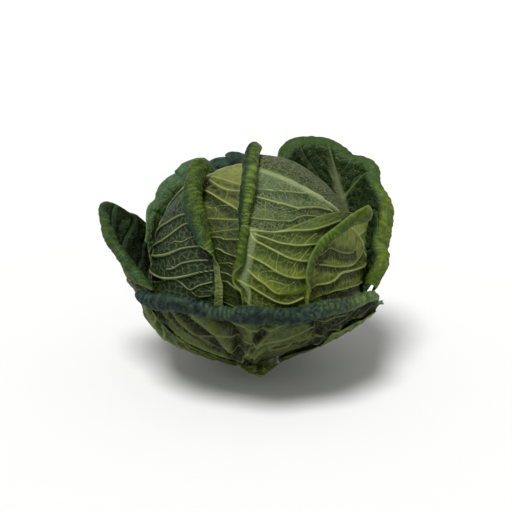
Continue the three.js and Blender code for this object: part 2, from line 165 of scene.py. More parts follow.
def noise(place, size, seed):
    """Smooth noise from -1 to 1, with bumps about size apart."""
    q = place / size
    low = np.floor(q)
    f = q - low
    f = f * f * (3 - 2 * f)
    total = 0
    for corner in np.ndindex(*(2,) * place.shape[-1]):
        corner = np.array(corner)
        weight = np.prod(np.where(corner, f, 1 - f), axis=-1)
        total = total + weight * mixed(low + corner, seed)
    return 2 * total - 1


def cells(flat, size, seed, loose=0.85):
    """Cells of about size. Gives each place's distance to its cell's border, 0 on a vein."""
    size = np.asarray(size, float)
    low = np.floor(flat / size)
    first = np.full(len(flat), 1e9)
    second = first.copy()
    near = np.zeros_like(flat)
    next_near = near.copy()
    for step in np.ndindex(3, 3):
        cell = low + np.array(step) - 1
        jitter = np.stack([mixed(cell, seed), mixed(cell, seed + 1)], -1)
        middle = (cell + 0.5 + loose * (jitter - 0.5)) * size
        away = np.linalg.norm((flat - middle) / size, axis=-1)
        closer, between = away < first, (away >= first) & (away < second)
        next_near[closer] = near[closer]
        second[closer] = first[closer]
        near[closer] = middle[closer]
        first[closer] = away[closer]
        next_near[between] = middle[between]
        second[between] = away[between]
    apart = np.linalg.norm((near - next_near) / size, axis=-1)
    border = (second**2 - first**2) / (2 * np.maximum(apart, 1e-6))
    return border * size.min(), mixed(np.round(near * 8), seed + 2)


def is_head(leaf):
    return "facing" in leaf


def surface(leaf, rise, share):
    """Places of a leaf's sheet: rise goes along its guide lines and share from one to the next."""
    if "round" in leaf:
        first, last = leaf["round"]
        cut = first * smooth(CORNER, 0, share) ** 2 + last * smooth(1 - CORNER, 1, share) ** 2
        rise = rise * (1 - cut)
    place = along(np.stack([along(g, rise) for g in leaf["guides"]]), share)
    if is_head(leaf):
        lift = place[:, 2] + leaf.get("tuck", 0) * share * (1 - rise)
        return on_head(leaf["facing"], place[:, 0], place[:, 1], lift)
    size, count, phase = leaf["wave"]
    swell = size * rise**2 * np.sin(np.pi * (2 * count * share + phase))
    return around(place[:, 0], place[:, 1] + swell, place[:, 2] + swell)


def spot(leaf, over, out):
    """Over is the share across a leaf's veins and out the share along them."""
    return surface(leaf, over, out) if is_head(leaf) else surface(leaf, out, over)


def sheet_at(leaf, over, out):
    """Places of a leaf's sheet with their normals and the directions over and out."""
    o, p = np.clip(over, NUDGE, 1 - NUDGE), np.clip(out, NUDGE, 1 - NUDGE)
    over_way = unit(spot(leaf, o + NUDGE, p) - spot(leaf, o - NUDGE, p))
    out_way = unit(spot(leaf, o, p + NUDGE) - spot(leaf, o, p - NUDGE))
    normal = unit(np.cross(over_way, out_way)) * (-1 if is_head(leaf) else 1)
    return spot(leaf, over, out), normal, over_way, out_way


def spaced(points, gap):
    """Shares at which a line that is sampled evenly is to be cut so that cuts are about gap apart."""
    steps = np.linalg.norm(np.diff(points, axis=0), axis=1)
    gap = np.broadcast_to(gap, len(points))
    density = np.concatenate([[0], np.cumsum(steps / ((gap[1:] + gap[:-1]) / 2))])
    count = max(4, int(math.ceil(density[-1])))
    return np.interp(np.linspace(0, density[-1], count + 1), density, np.linspace(0, 1, len(points)))


def roll_columns(leaf, end, overs):
    """The grid's columns round the roll at one end of the veins, from the sheet on."""
    roll = leaf.get(("start", "finish")[end])
    if not roll:
        return []
    point, normal, over_way, out_way = sheet_at(leaf, overs, np.full(len(overs), float(end)))
    ahead = unit(np.cross(normal, over_way))
    way = np.sign((ahead * out_way).sum(-1)) * (1 if end else -1)
    ahead = ahead * way[:, None]
    turn = np.maximum(np.radians(through(roll["turn"], overs)), FLATTEST_TURN)
    reach = np.maximum(through(roll["radius"], overs) * turn, roll.get("least", LEAST_ROLL))
    swell = 1
    for share, size, seed in ROLL_SWELLS:
        swell = swell + share * noise(point, size, seed)
    reach = reach * swell
    radius = reach / turn
    count = int(math.ceil(reach.max() / (leaf.get("gap", GAP) * ROLL_GAP)))
    columns = []
    for k in range(1, count + 1):
        share = k / count
        angle = turn * share
        place = point + ahead * (radius * np.sin(angle))[:, None]
        place = place + normal * (radius * (1 - np.cos(angle)))[:, None]
        turned = normal * np.cos(angle)[:, None] - ahead * np.sin(angle)[:, None]
        spread = point + ahead * (reach * share)[:, None]
        columns.append((place, turned, spread, angle, np.full(len(overs), float(end)), reach * share))
    return columns


def grid_of(leaf):
    """The leaf's fine grid: places and normals of the sheet's middle, places as if its rolls were
    spread flat, how far round a roll each one is, its shares, and how far past the sheet it is."""
    fine = np.linspace(0, 1, SAMPLES)
    middle = spot(leaf, fine, np.full(SAMPLES, 0.5 if is_head(leaf) else 0.8))
    gap = leaf.get("gap", GAP)
    hidden = is_head(leaf) & (middle[:, 2] <= SHOWN)
    overs = spaced(middle, np.where(hidden, HIDDEN_GAP * gap, gap))
    sheet = []
    for out in spaced(spot(leaf, np.full(SAMPLES, 0.5), fine), gap):
        point, normal, _, _ = sheet_at(leaf, overs, np.full(len(overs), out))
        zero = np.zeros(len(overs))
        sheet.append((point, normal, point, zero, np.full(len(overs), out), zero))
    columns = roll_columns(leaf, 0, overs)[::-1] + sheet + roll_columns(leaf, 1, overs)
    point, normal, spread, turned, out, past = (np.stack(values, 1) for values in zip(*columns))
    over = np.broadcast_to(overs[:, None], out.shape)
    return point, normal, spread, turned, over, out, past


def flat_of(spread):
    """Flat coordinates in millimetres, along the two ways of the grid."""
    s = np.cumsum(np.linalg.norm(np.diff(spread, axis=0, prepend=spread[:1]), axis=-1), 0)
    t = np.cumsum(np.linalg.norm(np.diff(spread, axis=1, prepend=spread[:, :1]), axis=-1), 1)
    s, t = s - s[len(s) // 2], t - t[:, t.shape[1] // 2, None]
    return np.stack([s, t], -1).reshape(-1, 2)


def near(places, points, reach=14):
    """The places near a line: which they are, how far they lie from it, how far below it, and at
    what share of it."""
    inside = (places > points.min(0) - reach) & (places < points.max(0) + reach)
    ids = np.flatnonzero(inside.all(1))
    q = places[ids]
    if not len(q):
        return ids, np.zeros(0), np.zeros(0), np.zeros(0)
    a, step = points[:-1], np.diff(points, axis=0)
    f = np.clip(((q[:, None] - a) * step).sum(-1) / np.maximum((step**2).sum(-1), 1e-9), 0, 1)
    gap = q[:, None] - (a + f[..., None] * step)
    away = np.linalg.norm(gap, axis=-1)
    k, row = away.argmin(1), np.arange(len(q))
    return ids, away[row, k], -gap[row, k, 2], (k + f[row, k]) / len(a)


def veined(places, paths, pleat_width):
    """What veins do at every place: how far they raise it, how far the blade folds in below them,
    and how far it lies from the nearest one's side. Each path is (half width, ridge, pleat, points)."""
    raised, folded = np.zeros((2, len(places)))
    clear = np.full(len(places), NO_VEIN)
    for half, ridge, pleat, points in paths:
        ids, away, drop, run = near(places, points)
        wide = RIDGE * (through(half, run) if np.ndim(half) else half)
        x = away / pleat_width
        fold = PLEAT * pleat * x * np.exp(1 - x) * np.where(drop > 0, 1, PLEAT_ABOVE)
        raised[ids] = np.maximum(raised[ids], ridge * np.exp(-((away / wide) ** 2)))
        folded[ids] = np.maximum(folded[ids], fold)
        clear[ids] = np.minimum(clear[ids], away - wide)
    return raised, folded, clear


def folded_by(places, folds):
    """The shift that a leaf's big folds give: each is (half width, height, points), and a dent has a
    height below 0."""
    up, down = np.zeros((2, len(places)))
    for half, height, points in folds:
        ids, away, _, _ = near(places, points, 3 * half)
        wide = half * (DENT if height < 0 else 1)
        swell = FOLD * np.abs(height) * np.exp(-((away / wide) ** 2))
        side = up if height > 0 else down
        side[ids] = np.maximum(side[ids], swell)
    return up - down, down


def curve(points):
    return along(points, np.linspace(0, 1, LINE_POINTS))


def head_line(leaf, points):
    """A line on the head's outermost surface, through degrees across and up."""
    place = curve(points)
    return on_head(leaf["facing"], place[:, 0], place[:, 1], np.zeros(len(place)))


def leaf_line(leaf, points):
    """A line through shares over and out of an outer leaf, carried on past its rim."""
    place = curve(points)
    over, out = np.clip(place[:, 0], 0, 1), place[:, 1]
    point = spot(leaf, over, np.clip(out, 0, 1))
    step = 0.03
    back = spot(leaf, over, np.full(len(over), 1 - step))
    edge = spot(leaf, over, np.full(len(over), 1.0))
    return point + (edge - back) / step * np.maximum(out - 1, 0)[:, None]


FORKS = (0.06, 0.2, 0.34, 0.48, 0.62, 0.76, 0.9)  # where side veins leave a midrib, in shares of it
SIDE_HALVES = [1.5, 0.9, 0.6, 0.35]  # their half widths from there to the rim
SIDE_RIDGE = 0.9
SIDE_RISE = 0.42  # how far towards the rim they go, in shares of the midrib
SIDE_PAST = 1.02  # how far across they reach, to the leaf's half


def fan(leaf):
    """The veins of an outer leaf: side veins that leave its midrib and bend towards its rim."""
    rib, lines = leaf["rib"]["over"], []
    for side in (0, 1):
        for k, start in enumerate(leaf.get("forks", FORKS)):
            reach = (side - rib) * SIDE_PAST
            lift = SIDE_RISE - 0.012 * ((k * 7 + side * 3) % 5)
            points = [(rib + reach * f, start + lift * f**0.85) for f in (0, 0.3, 0.65, 1)]
            lines.append((SIDE_HALVES, SIDE_RIDGE, leaf.get("pleat", 1.0), leaf_line(leaf, points)))
    return lines


def wander(flat, amount, size, seed):
    """A shift of up to amount both ways that changes over size."""
    return amount * np.stack([noise(flat, size, seed), noise(flat, size, seed + 1)], -1)


def edge_distance(flat, shape):
    """How far each place lies from the spread leaf's nearest edge."""
    s, t = flat[:, 0].reshape(shape), flat[:, 1].reshape(shape)
    return np.minimum.reduce([s - s[:1], s[-1:] - s, t - t[:, :1], t[:, -1:] - t]).reshape(-1)


def roll_relief(leaf, flat, bent, over, turned, past):
    """A roll's relief, of rings across it and bubbles: how far each place stands out, how near a
    dome's middle it is, how far from a groove, and its dome's tint."""
    seed = leaf["seed"]
    bubbly = leaf.get("bubbly", np.zeros_like)(over)
    lean = flat + np.stack([leaf.get("lean", 0) * flat[:, 1], 0 * flat[:, 1]], -1)
    lean = lean + wander(flat, *ROLL_BENDS, seed + 6)
    ring, ring_tint = cells(lean, leaf.get("ring", (3.0, 15.0)), seed + 21, 0.7)
    bubble, bubble_tint = cells(bent, leaf.get("bubble", (4.4, 5.6)), seed + 31)
    dome = smooth(0, 1.3, ring) * (1 - bubbly) + smooth(0, 1.8, bubble) * bubbly
    rolled = -leaf.get("dome", 0.9) * (dome - 0.35) + 0.25 * noise(flat, 7, seed + 8)
    rolled = rolled * smooth(0.8, 4, past / np.maximum(turned, FLATTEST_TURN))
    groove = np.minimum(ring * (1 - bubbly) + bubble * bubbly, FAR)
    return rolled, dome, groove, ring_tint * (1 - bubbly) + bubble_tint * bubbly


def spine_of(leaf, drawn, over, out, past):
    """How much thicker the midrib makes the leaf at each place, and how much of its paint shows."""
    if "rib" not in leaf:
        return np.zeros((2, len(over)))
    rib = leaf["rib"]
    bend = rib.get("bend", 0) * smooth(0.85, 1, out)
    offset, run = (out - rib["out"], over) if "out" in rib else (over - rib["over"] - bend, out)
    half = rib["half"] * (1 - rib.get("taper", 0) * run)
    spine = smooth(0, 1, 1 - np.abs(offset) / half) * (past == 0)
    rise = through(rib["rise"], run)
    if "band" in rib:
        line = on_ball(spot(leaf, np.full(40, rib["over"]), np.linspace(0, 1, 40)))
        ids, away, _, share = near(drawn, line)
        paint = np.zeros(len(over))
        paint[ids] = 0.9 * np.exp(-((away / through(rib["band"], share)) ** 4))
    else:
        paint = smooth(*rib.get("paint", (0.1, 0.6)), spine) * np.minimum(1, rise)
        paint = paint if is_head(leaf) else paint * smooth(1.0, 0.94, out)
    return rise * spine, paint


def shaped(leaf):
    """The leaf's two faces and, for each of their places, what its paint needs to know."""
    point, normal, spread, turned, over, out, past = grid_of(leaf)
    shape, flat, seed = out.shape, flat_of(spread), leaf["seed"]
    point, normal, places = (values.reshape(-1, 3) for values in (point, normal, spread))
    turned, over, out, past = (values.reshape(-1) for values in (turned, over, out, past))
    drawn = on_ball(places) if is_head(leaf) else places
    raised, folded, clear = veined(drawn, leaf["paths"], leaf.get("pleat_width", 2.6))
    fold, dent = folded_by(places, leaf.get("folds", []))
    bent = flat + wander(flat, *BENDS, seed + 3)
    cell = np.array(leaf.get("cell", (7.0, 4.6)))
    border, tint = cells(bent, cell, seed)
    puff = smooth(*CALM, clear) * smooth(0, 0.5 * cell.min(), border)
    swing = SWING * noise(flat, SWING_SIZE, seed + 5)
    blade = raised - folded + fold - leaf.get("puff", 0.7) * puff + swing

    curl = smooth(*CURL, turned)
    rolled, dome, groove, roll_tint = roll_relief(leaf, flat, bent, over, turned, past)
    height = blade + (rolled - blade) * curl
    if is_head(leaf):
        height = np.where(height < 0, -DEEPEST * np.tanh(-height / DEEPEST), height)
    strip = leaf.get("strip", False) * (past > 0) * (1 - curl)
    tall, deep, wide = STRIP
    height = height + strip * (tall - deep * np.exp(-((past / wide) ** 2)))
    edge = edge_distance(flat, shape)
    height = height * smooth(0, leaf.get("fade", 2.5), edge)
    ragged = leaf.get("ragged", 0.6) * (1 - smooth(0, FREE_EDGE, edge))
    height = height + ragged * noise(flat, 7, seed + 9) * (1 - curl)

    thick, spine = spine_of(leaf, drawn, over, out, past)
    height = height * (1 - SUNK_RIB * spine)
    thin = 0.5 * BLADE * (EDGE_BLADE + (1 - EDGE_BLADE) * smooth(0, SOFT_EDGE, edge))
    middle = point + normal * height[:, None]
    outer = middle + normal * (thin + thick)[:, None]
    inner = middle - normal * thin[:, None]
    tone = leaf["tone"](over, out, point)
    roll_tone = leaf["roll_tone"](over, turned) if "roll_tone" in leaf else tone
    # Painted highlight and shade on the big folds: the tone moves towards the second green on a fold's
    # ridge and towards the first in a dent
    tone = np.clip(tone + leaf.get("fold_tone", 0) * fold, 0, 1)
    shade = leaf["shade"](over, out, point) if "shade" in leaf else PLAIN_SHADE
    # Painted shade: the hollows' dark green where the blade folds in under veins, in dents and in sunk cell
    # middles, plus the painted shade that the leaf asks for
    low = FOLD_SHADE * folded + DENT_SHADE * dent + PUFF_SHADE * puff + shade
    marks = {
        "clear": np.clip(clear, -2, FAR),
        "net": np.minimum(border, FAR),
        "flat": np.column_stack([bent, np.zeros(len(bent))]),
        "low": np.clip(low, 0, 1) * (1 - curl),
        "dome": dome,
        "curl": curl,
        "edge": 1 - smooth(0.3, 2.2, edge),
        "rib": np.maximum(spine, 0.6 * strip * smooth(0.8, 2.0, past)),
        "tint": tint * (1 - curl) + 0.4 * roll_tint * curl,
        "groove": groove,
        "tone": tone * (1 - curl) + np.clip(roll_tone, 0, 1) * curl,
    }
    return shape, outer, inner, marks


def mesh_of(name, points, faces, marks, material):
    """A smooth mesh from places in millimetres, four-sided faces and numbers for each place."""
    mesh = bpy.data.meshes.new(name)
    mesh.vertices.add(len(points))
    mesh.vertices.foreach_set("co", (points * MM).astype(np.float32).ravel())
    mesh.loops.add(faces.size)
    mesh.loops.foreach_set("vertex_index", faces.astype(np.int32).ravel())
    mesh.polygons.add(len(faces))
    mesh.polygons.foreach_set("loop_start", np.arange(0, faces.size, 4, dtype=np.int32))
    mesh.update(calc_edges=True)
    mesh.validate()
    mesh.polygons.foreach_set("use_smooth", np.ones(len(mesh.polygons), bool))
    for key, values in marks.items():
        kind, field = ("FLOAT_VECTOR", "vector") if values.ndim == 2 else ("FLOAT", "value")
        mesh.attributes.new(key, kind, "POINT").data.foreach_set(field, values.astype(np.float32).ravel())
    mesh.materials.append(material)
    made = bpy.data.objects.new(name, mesh)
    bpy.context.scene.collection.objects.link(made)
    return made


def leaf_mesh(leaf, material):
    """A leaf's closed mesh: its outer face, its inner face and the strip round their edges."""
    (rows, columns), outer, inner, marks = shaped(leaf)
    count = rows * columns
    a = (np.arange(rows - 1)[:, None] * columns + np.arange(columns - 1)).ravel()
    top = np.stack([a, a + columns, a + columns + 1, a + 1], 1)
    bottom = count + top[:, ::-1]
    way = [
        np.arange(columns - 1),
        np.arange(rows - 1) * columns + columns - 1,
        (rows - 1) * columns + np.arange(columns - 1, 0, -1),
        np.arange(rows - 1, 0, -1) * columns,
    ]
    loop = np.concatenate(way)
    onward = np.roll(loop, -1)
    strip = np.stack([loop, onward, count + onward, count + loop], 1)
    faces = np.concatenate([top, bottom, strip])
    if is_head(leaf):
        faces = faces[:, ::-1]
    both = {key: np.concatenate([values, values]) for key, values in marks.items()}
    both["inner"] = np.repeat([0.0, 1.0], count)
    return mesh_of(leaf["name"] + ".fine", np.concatenate([outer, inner]), faces, both, material)


class Paint:
    """A material's node tree, made line by line."""

    def __init__(self, name):
        self.material = bpy.data.materials.new(name)
        self.material.use_nodes = True
        self.tree = self.material.node_tree
        self.tree.nodes.clear()
        self.shader = self.tree.nodes.new("ShaderNodeBsdfPrincipled")
        output = self.tree.nodes.new("ShaderNodeOutputMaterial")
        self.tree.links.new(self.shader.outputs["BSDF"], output.inputs["Surface"])
        self.place = self.tree.nodes.new("ShaderNodeTexCoord").outputs["Object"]

    def put(self, socket, value):
        if isinstance(value, bpy.types.NodeSocket):
            self.tree.links.new(value, socket)
        else:
            socket.default_value = (*value, 1) if isinstance(value, tuple) else value

    def mark(self, name):
        node = self.tree.nodes.new("ShaderNodeAttribute")
        node.attribute_name = name
        return node.outputs["Fac"]

    def noise(self, size, detail=3, rough=0.55):
        node = self.tree.nodes.new("ShaderNodeTexNoise")
        self.put(node.inputs["Vector"], self.place)
        node.inputs["Scale"].default_value = 1 / (size * MM)
        node.inputs["Detail"].default_value = detail
        node.inputs["Roughness"].default_value = rough
        return node.outputs["Fac"]

    def net(self, size):
        """Distance to the borders of cells on the spread leaf, 0 on a border, in shares of a cell."""
        flat = self.tree.nodes.new("ShaderNodeAttribute")
        flat.attribute_name = "flat"
        scaled = self.tree.nodes.new("ShaderNodeVectorMath")
        scaled.operation = "DIVIDE"
        self.tree.links.new(flat.outputs["Vector"], scaled.inputs[0])
        scaled.inputs[1].default_value = (*size, 1)
        node = self.tree.nodes.new("ShaderNodeTexVoronoi")
        node.voronoi_dimensions = "2D"
        node.feature = "DISTANCE_TO_EDGE"
        self.put(node.inputs["Vector"], scaled.outputs["Vector"])
        node.inputs["Scale"].default_value = 1
        return node.outputs["Distance"]

    def span(self, value, low, high, to_low=0.0, to_high=1.0):
        node = self.tree.nodes.new("ShaderNodeMapRange")
        names = ("Value", "From Min", "From Max", "To Min", "To Max")
        for name, given in zip(names, (value, low, high, to_low, to_high)):
            self.put(node.inputs[name], given)
        return node.outputs["Result"]

    def sum(self, kind, a, b):
        node = self.tree.nodes.new("ShaderNodeMath")
        node.operation = kind
        node.use_clamp = kind != "SUBTRACT"
        self.put(node.inputs[0], a)
        self.put(node.inputs[1], b)
        return node.outputs[0]

    def mix(self, share, a, b, kind="MIX"):
        node = self.tree.nodes.new("ShaderNodeMix")
        node.data_type = "RGBA"
        node.blend_type = kind
        self.put(node.inputs[0], share)
        self.put(node.inputs[6], a)
        self.put(node.inputs[7], b)
        return node.outputs[2]

    def bump(self, height, distance, strength=1.0, under=None):
        node = self.tree.nodes.new("ShaderNodeBump")
        node.inputs["Distance"].default_value = distance * MM
        node.inputs["Strength"].default_value = strength
        self.put(node.inputs["Height"], height)
        if under is not None:
            self.put(node.inputs["Normal"], under)
        return node.outputs["Normal"]


WAX = (0.16, 0.22, 0.17)


def leaf_paint(name, look):
    """A savoy leaf: two greens that run into each other, darker where the blade sinks, paler on
    the veins, with its own greens on the inner face and on the rolled rims."""
    p = Paint(name)
    patches = p.noise(22, 3)
    specks = p.noise(1.3, 2)
    tone = p.sum("ADD", p.mark("tone"), p.span(patches, 0.3, 0.7, -0.22, 0.22))
    cell = p.net(look.get("small", (2.6, 2.6)))
    calm = p.span(p.mark("clear"), 0.3, 1.4)
    vein = p.span(p.mark("clear"), -0.35, 0.15, look.get("vein_show", 0.9), 0.0)
    lines = p.sum("MULTIPLY", p.span(cell, 0.03, 0.13, 1.0, 0.0), calm)
    net = p.sum("MULTIPLY", p.span(p.mark("net"), 0.1, 0.65, 1.0, 0.0), calm)

    outer = p.mix(tone, look["outer"][0], look["outer"][1])
    # Painted shade: the hollows' dark green, as much as the low mark says
    outer = p.mix(p.mark("low"), outer, look["low"])
    outer = p.mix(p.sum("MULTIPLY", lines, look.get("small_show", 0.3)), outer, look["vein"])
    outer = p.mix(p.sum("MULTIPLY", net, look.get("net_show", 0.55)), outer, look["vein"])
    outer = p.mix(p.mark("rib"), outer, look["rib"])
    outer = p.mix(vein, outer, look["vein"])

    groove = look["inner"][2]
    inner = p.mix(tone, look["inner"][0], look["inner"][1])
    inner = p.mix(p.span(p.mark("dome"), 0.9, 0.0, 0.0, 0.35), inner, look["dark"])
    inner = p.mix(p.sum("MULTIPLY", lines, look.get("inner_small", 0.2)), inner, groove)
    inner = p.mix(p.sum("MULTIPLY", net, look.get("inner_net", 0.4)), inner, groove)
    inner = p.mix(vein, inner, groove)
    inner = p.mix(p.mark("rib"), inner, look["rib"])
    rolled = p.mix(tone, look["roll"][0], look["roll"][1])
    # Painted shade in the grooves between a roll's rings and bubbles: the roll's third green, or its own at
    # the second tone
    between = p.mix(tone, look["roll"][2], look.get("groove_end", look["roll"][2]))
    rolled = p.mix(p.span(p.mark("groove"), 0.1, 1.2, look.get("groove_show", 0.85), 0.0), rolled, between)
    inner = p.mix(p.mark("curl"), inner, rolled)

    colour = p.mix(p.mark("inner"), outer, inner)
    colour = p.mix(p.span(p.mark("tint"), 0, 1, 0.0, 0.14), colour, look["low"])
    colour = p.mix(p.sum("MULTIPLY", p.mark("edge"), look.get("edge_show", 0.35)), colour, look["edge"])
    wax = p.sum("MULTIPLY", p.span(p.noise(6, 4, 0.65), 0.45, 0.7), look.get("wax", 0.15))
    colour = p.mix(wax, colour, WAX)
    darker = p.mix(1.0, colour, (0.72, 0.72, 0.72), "MULTIPLY")
    colour = p.mix(p.span(specks, 0.3, 0.7, 0.0, 0.25), colour, darker)
    p.put(p.shader.inputs["Base Color"], colour)
    p.put(p.shader.inputs["Roughness"], p.span(p.noise(4, 3), 0.3, 0.7, 0.42, 0.66))
    p.shader.inputs["Specular IOR Level"].default_value = 0.13
    small = p.bump(p.sum("MULTIPLY", p.span(cell, 0.0, 0.4, 1.0, 0.0), calm), 0.35, 0.9)
    p.put(p.shader.inputs["Normal"], p.bump(p.noise(0.8, 2), 0.12, 0.5, small))
    return p.material


# The guide lines of every leaf, near those of its solid, with its midrib and its rolls. A midrib
# lies at a share over or out, and shows where its profile, from 0 to 1, lies between its paint limits.
UNPAINTED = (2, 3)  # limits that no profile reaches
UNDER_RIB = dict(over=0.5, rise=[2.6, 2, 1.4, 0.6], half=0.08)
FRONT = dict(
    name="head_leaf_front",
    facing=0,
    lift=OUTER,
    guides=[
        [[-4, -78], [-6, -40], [-5, 3], [-9, 12], [-7, 21], [-6, 29], [-5, 35]],
        [[0, -79], [2, -42], [5, 1], [7, 8], [9, 16], [12, 26], [14, 35]],
        [[10, -78], [22, -40], [22, -2], [23, 8], [24, 18], [28, 27], [35, 37, 1], [51, 57.5, 8]],
    ],
    rib=dict(out=0.1, rise=[1.6, 1.4, 1.6, 1.2, 0.8], half=0.1),
    start=dict(radius=[2, 2, 2, 3, 2.8, 2.4, 2.6], turn=[5, 5, 10, 60, 280, 285, 280]),
    finish=dict(
        radius=[3, 3, 3, 2.4, 2.6, 2.8, 3.4, 4.4, 6.0],
        turn=[5, 5, 10, 120, 240, 250, 240, 225, 230],
        least=4,
    ),
)
CROWN = dict(
    name="head_leaf_crown",
    facing=0,
    lift=SECOND,
    guides=[
        [[-6, 31], [-6, 40], [-5, 47], [-4, 54], [-3.4, 62], [-3, 70], [-2, 82], [-1, 93], [-2, 100]],
        [[22, 31], [23, 40.5], [24, 48], [23, 54], [23, 58], [24, 61.6], [30, 78], [32, 98], [30, 116]],
        [[45, 41], [47, 48], [49, 54], [50, 58], [50.5, 59.8], [51, 61], [56, 72], [62, 92], [60, 116]],
    ],
    tuck=THIRD - SECOND,
    rib=dict(over=0.625, rise=[0.6, 1.2, 1.8, 2.4], half=0.06, band=[1.2, 1.6, 2.4, 3.2, 3.6], line=0.64),
    start=dict(
        radius=[2.5, 2.7, 3.3, 4.0, 4.6, *[5] * 7, 4.9, 4.8, 4.6, 4.2, 3.6],
        turn=[90, 270, *[285] * 15],
    ),
)
CENTRE = dict(
    name="head_leaf_centre",
    facing=0,
    lift=THIRD,
    guides=[
        [[-14, -77], [-32, -40], [-37, 12], [-37, 38], [-37, 52], [-35, 70], [-30, 89]],
        [[-7, -78], [-15, -42], [-16, 5], [-16, 30], [-16, 41], [-15, 55], [-15, 87]],
        [[0, -77], [2, -40], [4, -3], [4, 20], [4, 33], [3, 48], [2, 81]],
    ],
)
LEFT = dict(
    name="head_leaf_left",
    facing=-45,
    lift=SECOND,
    guides=[
        [[-10, -77], [-40, -40], [-60, 0], [-64, 20], [-64, 38], [-58, 58], [-46, 74]],
        [[0, -78], [-8, -40], [-12, 5], [-14, 17], [-15, 29], [-20, 45], [-28, 66]],
        [[10, -77], [22, -40], [23, 3], [22, 13], [19, 23], [13, 31], [-1, 45], [-15, 65]],
    ],
    finish=dict(radius=[4, 4, 5, 5, 5, 6.4, 6.2], turn=[5, 8, 12, 40, 250, 270, 285], least=8),
)
RIGHT = dict(
    name="head_leaf_right",
    facing=45,
    lift=SECOND,
    guides=[
        [[-8, -77], [-30, -40], [-32, -4], [-32, 6], [-31, 14], [-28, 22]],
        [[4, -78], [8, -40], [10, 2], [11, 9], [13, 18], [18, 32, 0]],
        [[14, -77], [46, -40], [66, 0, -1], [66, 10, 1], [58, 23, 4], [42, 35, 8]],
    ],
)
BOWL_FRONT = dict(
    name="outer_leaf_front",
    round=(0, 0.1),
    guides=[
        [[-40, 17.4, 9.5], [-50, 46, 24.5], [-57, 69, 38], [-61, 85, 55.5], [-62, 90, 72]],
        [[-24, 17.4, 9], [-28, 46, 21.5], [-31, 69, 37], [-32, 85, 56], [-32, 91, 78]],
        [[-4, 17.4, 8.5], [-2, 44, 21.5], [-1, 68, 37], [0, 85, 55], [0, 91, 75.5]],
        [[18, 17.4, 9.5], [26, 44, 25], [30, 67, 39], [32, 84, 56.5], [32, 91, 76]],
        [[32, 17.4, 11], [48, 44, 27], [54, 69, 41], [57, 86, 57], [57, 93, 74]],
        [[42, 17.4, 12], [60, 46, 28], [69, 71, 43], [73, 87, 53], [75, 95, 61]],
    ],
    rib=dict(over=0.4, rise=[3.2, 2.6, 1.8, 1.0, 0.4], half=0.05, paint=UNPAINTED),
    wave=(1.6, 5, 0.6),
    finish=dict(
        radius=[3.8, 5.5, 4.7, 4.1, 5.6, 5, 4.8, 3.8, 3.2, 2.8, 2.6],
        turn=[*[285] * 6, 275, 250, 200, 150, 120],
    ),
)
BOWL_LEFT = dict(
    name="outer_leaf_left",
    guides=[
        [[-114, 17.4, 7.5], [-118, 47, 18.5], [-120, 77, 37], [-121, 94, 60], [-120, 101, 98]],
        [[-104, 17.4, 8], [-106, 47, 21], [-107, 76, 39.5], [-108, 95, 66], [-108, 103, 112]],
        [[-92, 17.4, 8.5], [-92, 47, 24], [-93, 77, 43], [-95, 102, 74], [-97, 116.5, 122]],
        [[-78, 17.4, 10], [-74, 46, 26], [-74, 73, 43.5], [-74, 91.5, 67], [-74, 97, 94]],
        [[-68, 17.4, 12.5], [-62, 45, 28], [-58, 67.5, 41.5], [-57, 80.5, 59], [-58, 86.5, 76]],
    ],
    rib=dict(over=0.5, rise=[3.2, 2.4, 1.6, 1.0, 0.4], half=0.06, taper=0.5),
    wave=(1.2, 4, 1),
    finish=dict(radius=[2, 2, 2, 2, 3, 3.6, 3.6, 2], turn=[30, 40, 60, 150, 270, 285, 270, 120]),
)
BOWL_BACK_LEFT = dict(
    name="outer_leaf_back_left",
    round=(0.05, 0.08),
    guides=[
        [[-158, 17.4, 12], [-162, 46, 25], [-164, 70, 42], [-163, 84, 82], [-157, 77, 140]],
        [[-148, 17.4, 12], [-150, 46, 25], [-151, 71, 42], [-148, 87, 84], [-146, 80.5, 140]],
        [[-138, 17.4, 12], [-138, 47, 25], [-138, 72, 42], [-136, 89, 82], [-134, 85.5, 129]],
        [[-128, 17.4, 12], [-124, 46, 26], [-122, 72, 43], [-122, 90, 76], [-122, 92.5, 114]],
        [[-118, 17.4, 12.5], [-112, 45, 27], [-107, 70, 44], [-107, 86, 68], [-109, 93, 100]],
    ],
    rib=dict(over=0.5, rise=[3, 2.2, 1.4, 0.8, 0.4], half=0.07, taper=0.5),
    wave=(0.8, 4, 0),
    finish=dict(radius=[7, 9, 9, 6, 4], turn=[100, 125, 125, 90, 50]),
)
BOWL_BACK = dict(
    name="outer_leaf_back",
    round=(0.2, 0.02),
    guides=[
        [[-200, 17.4, 8], [-204, 47, 18], [-210, 75, 37], [-213, 93, 68], [-212, 99, 118]],
        [[-190, 17.4, 8], [-192, 47, 18], [-195, 76, 36], [-197, 94, 72], [-197, 95, 134]],
        [[-180, 17.4, 8], [-180, 47, 18], [-180, 76, 36], [-180, 93, 74], [-180, 88, 130]],
        [[-170, 17.4, 8], [-168, 47, 18.5], [-166, 76, 37], [-165, 94, 76], [-168, 89, 143]],
        [[-160, 17.4, 8], [-156, 47, 19], [-151, 75, 37], [-150, 95, 72], [-157, 92, 142]],
    ],
    rib=dict(over=0.5, rise=[1.4, 1.8, 1.6, 1.0, 0.4], half=0.06, taper=0.5),
    wave=(1.8, 4, 1),
    finish=dict(radius=[6, 7, 8, 8, 7], turn=[120, 120, 110, 95, 80]),
)
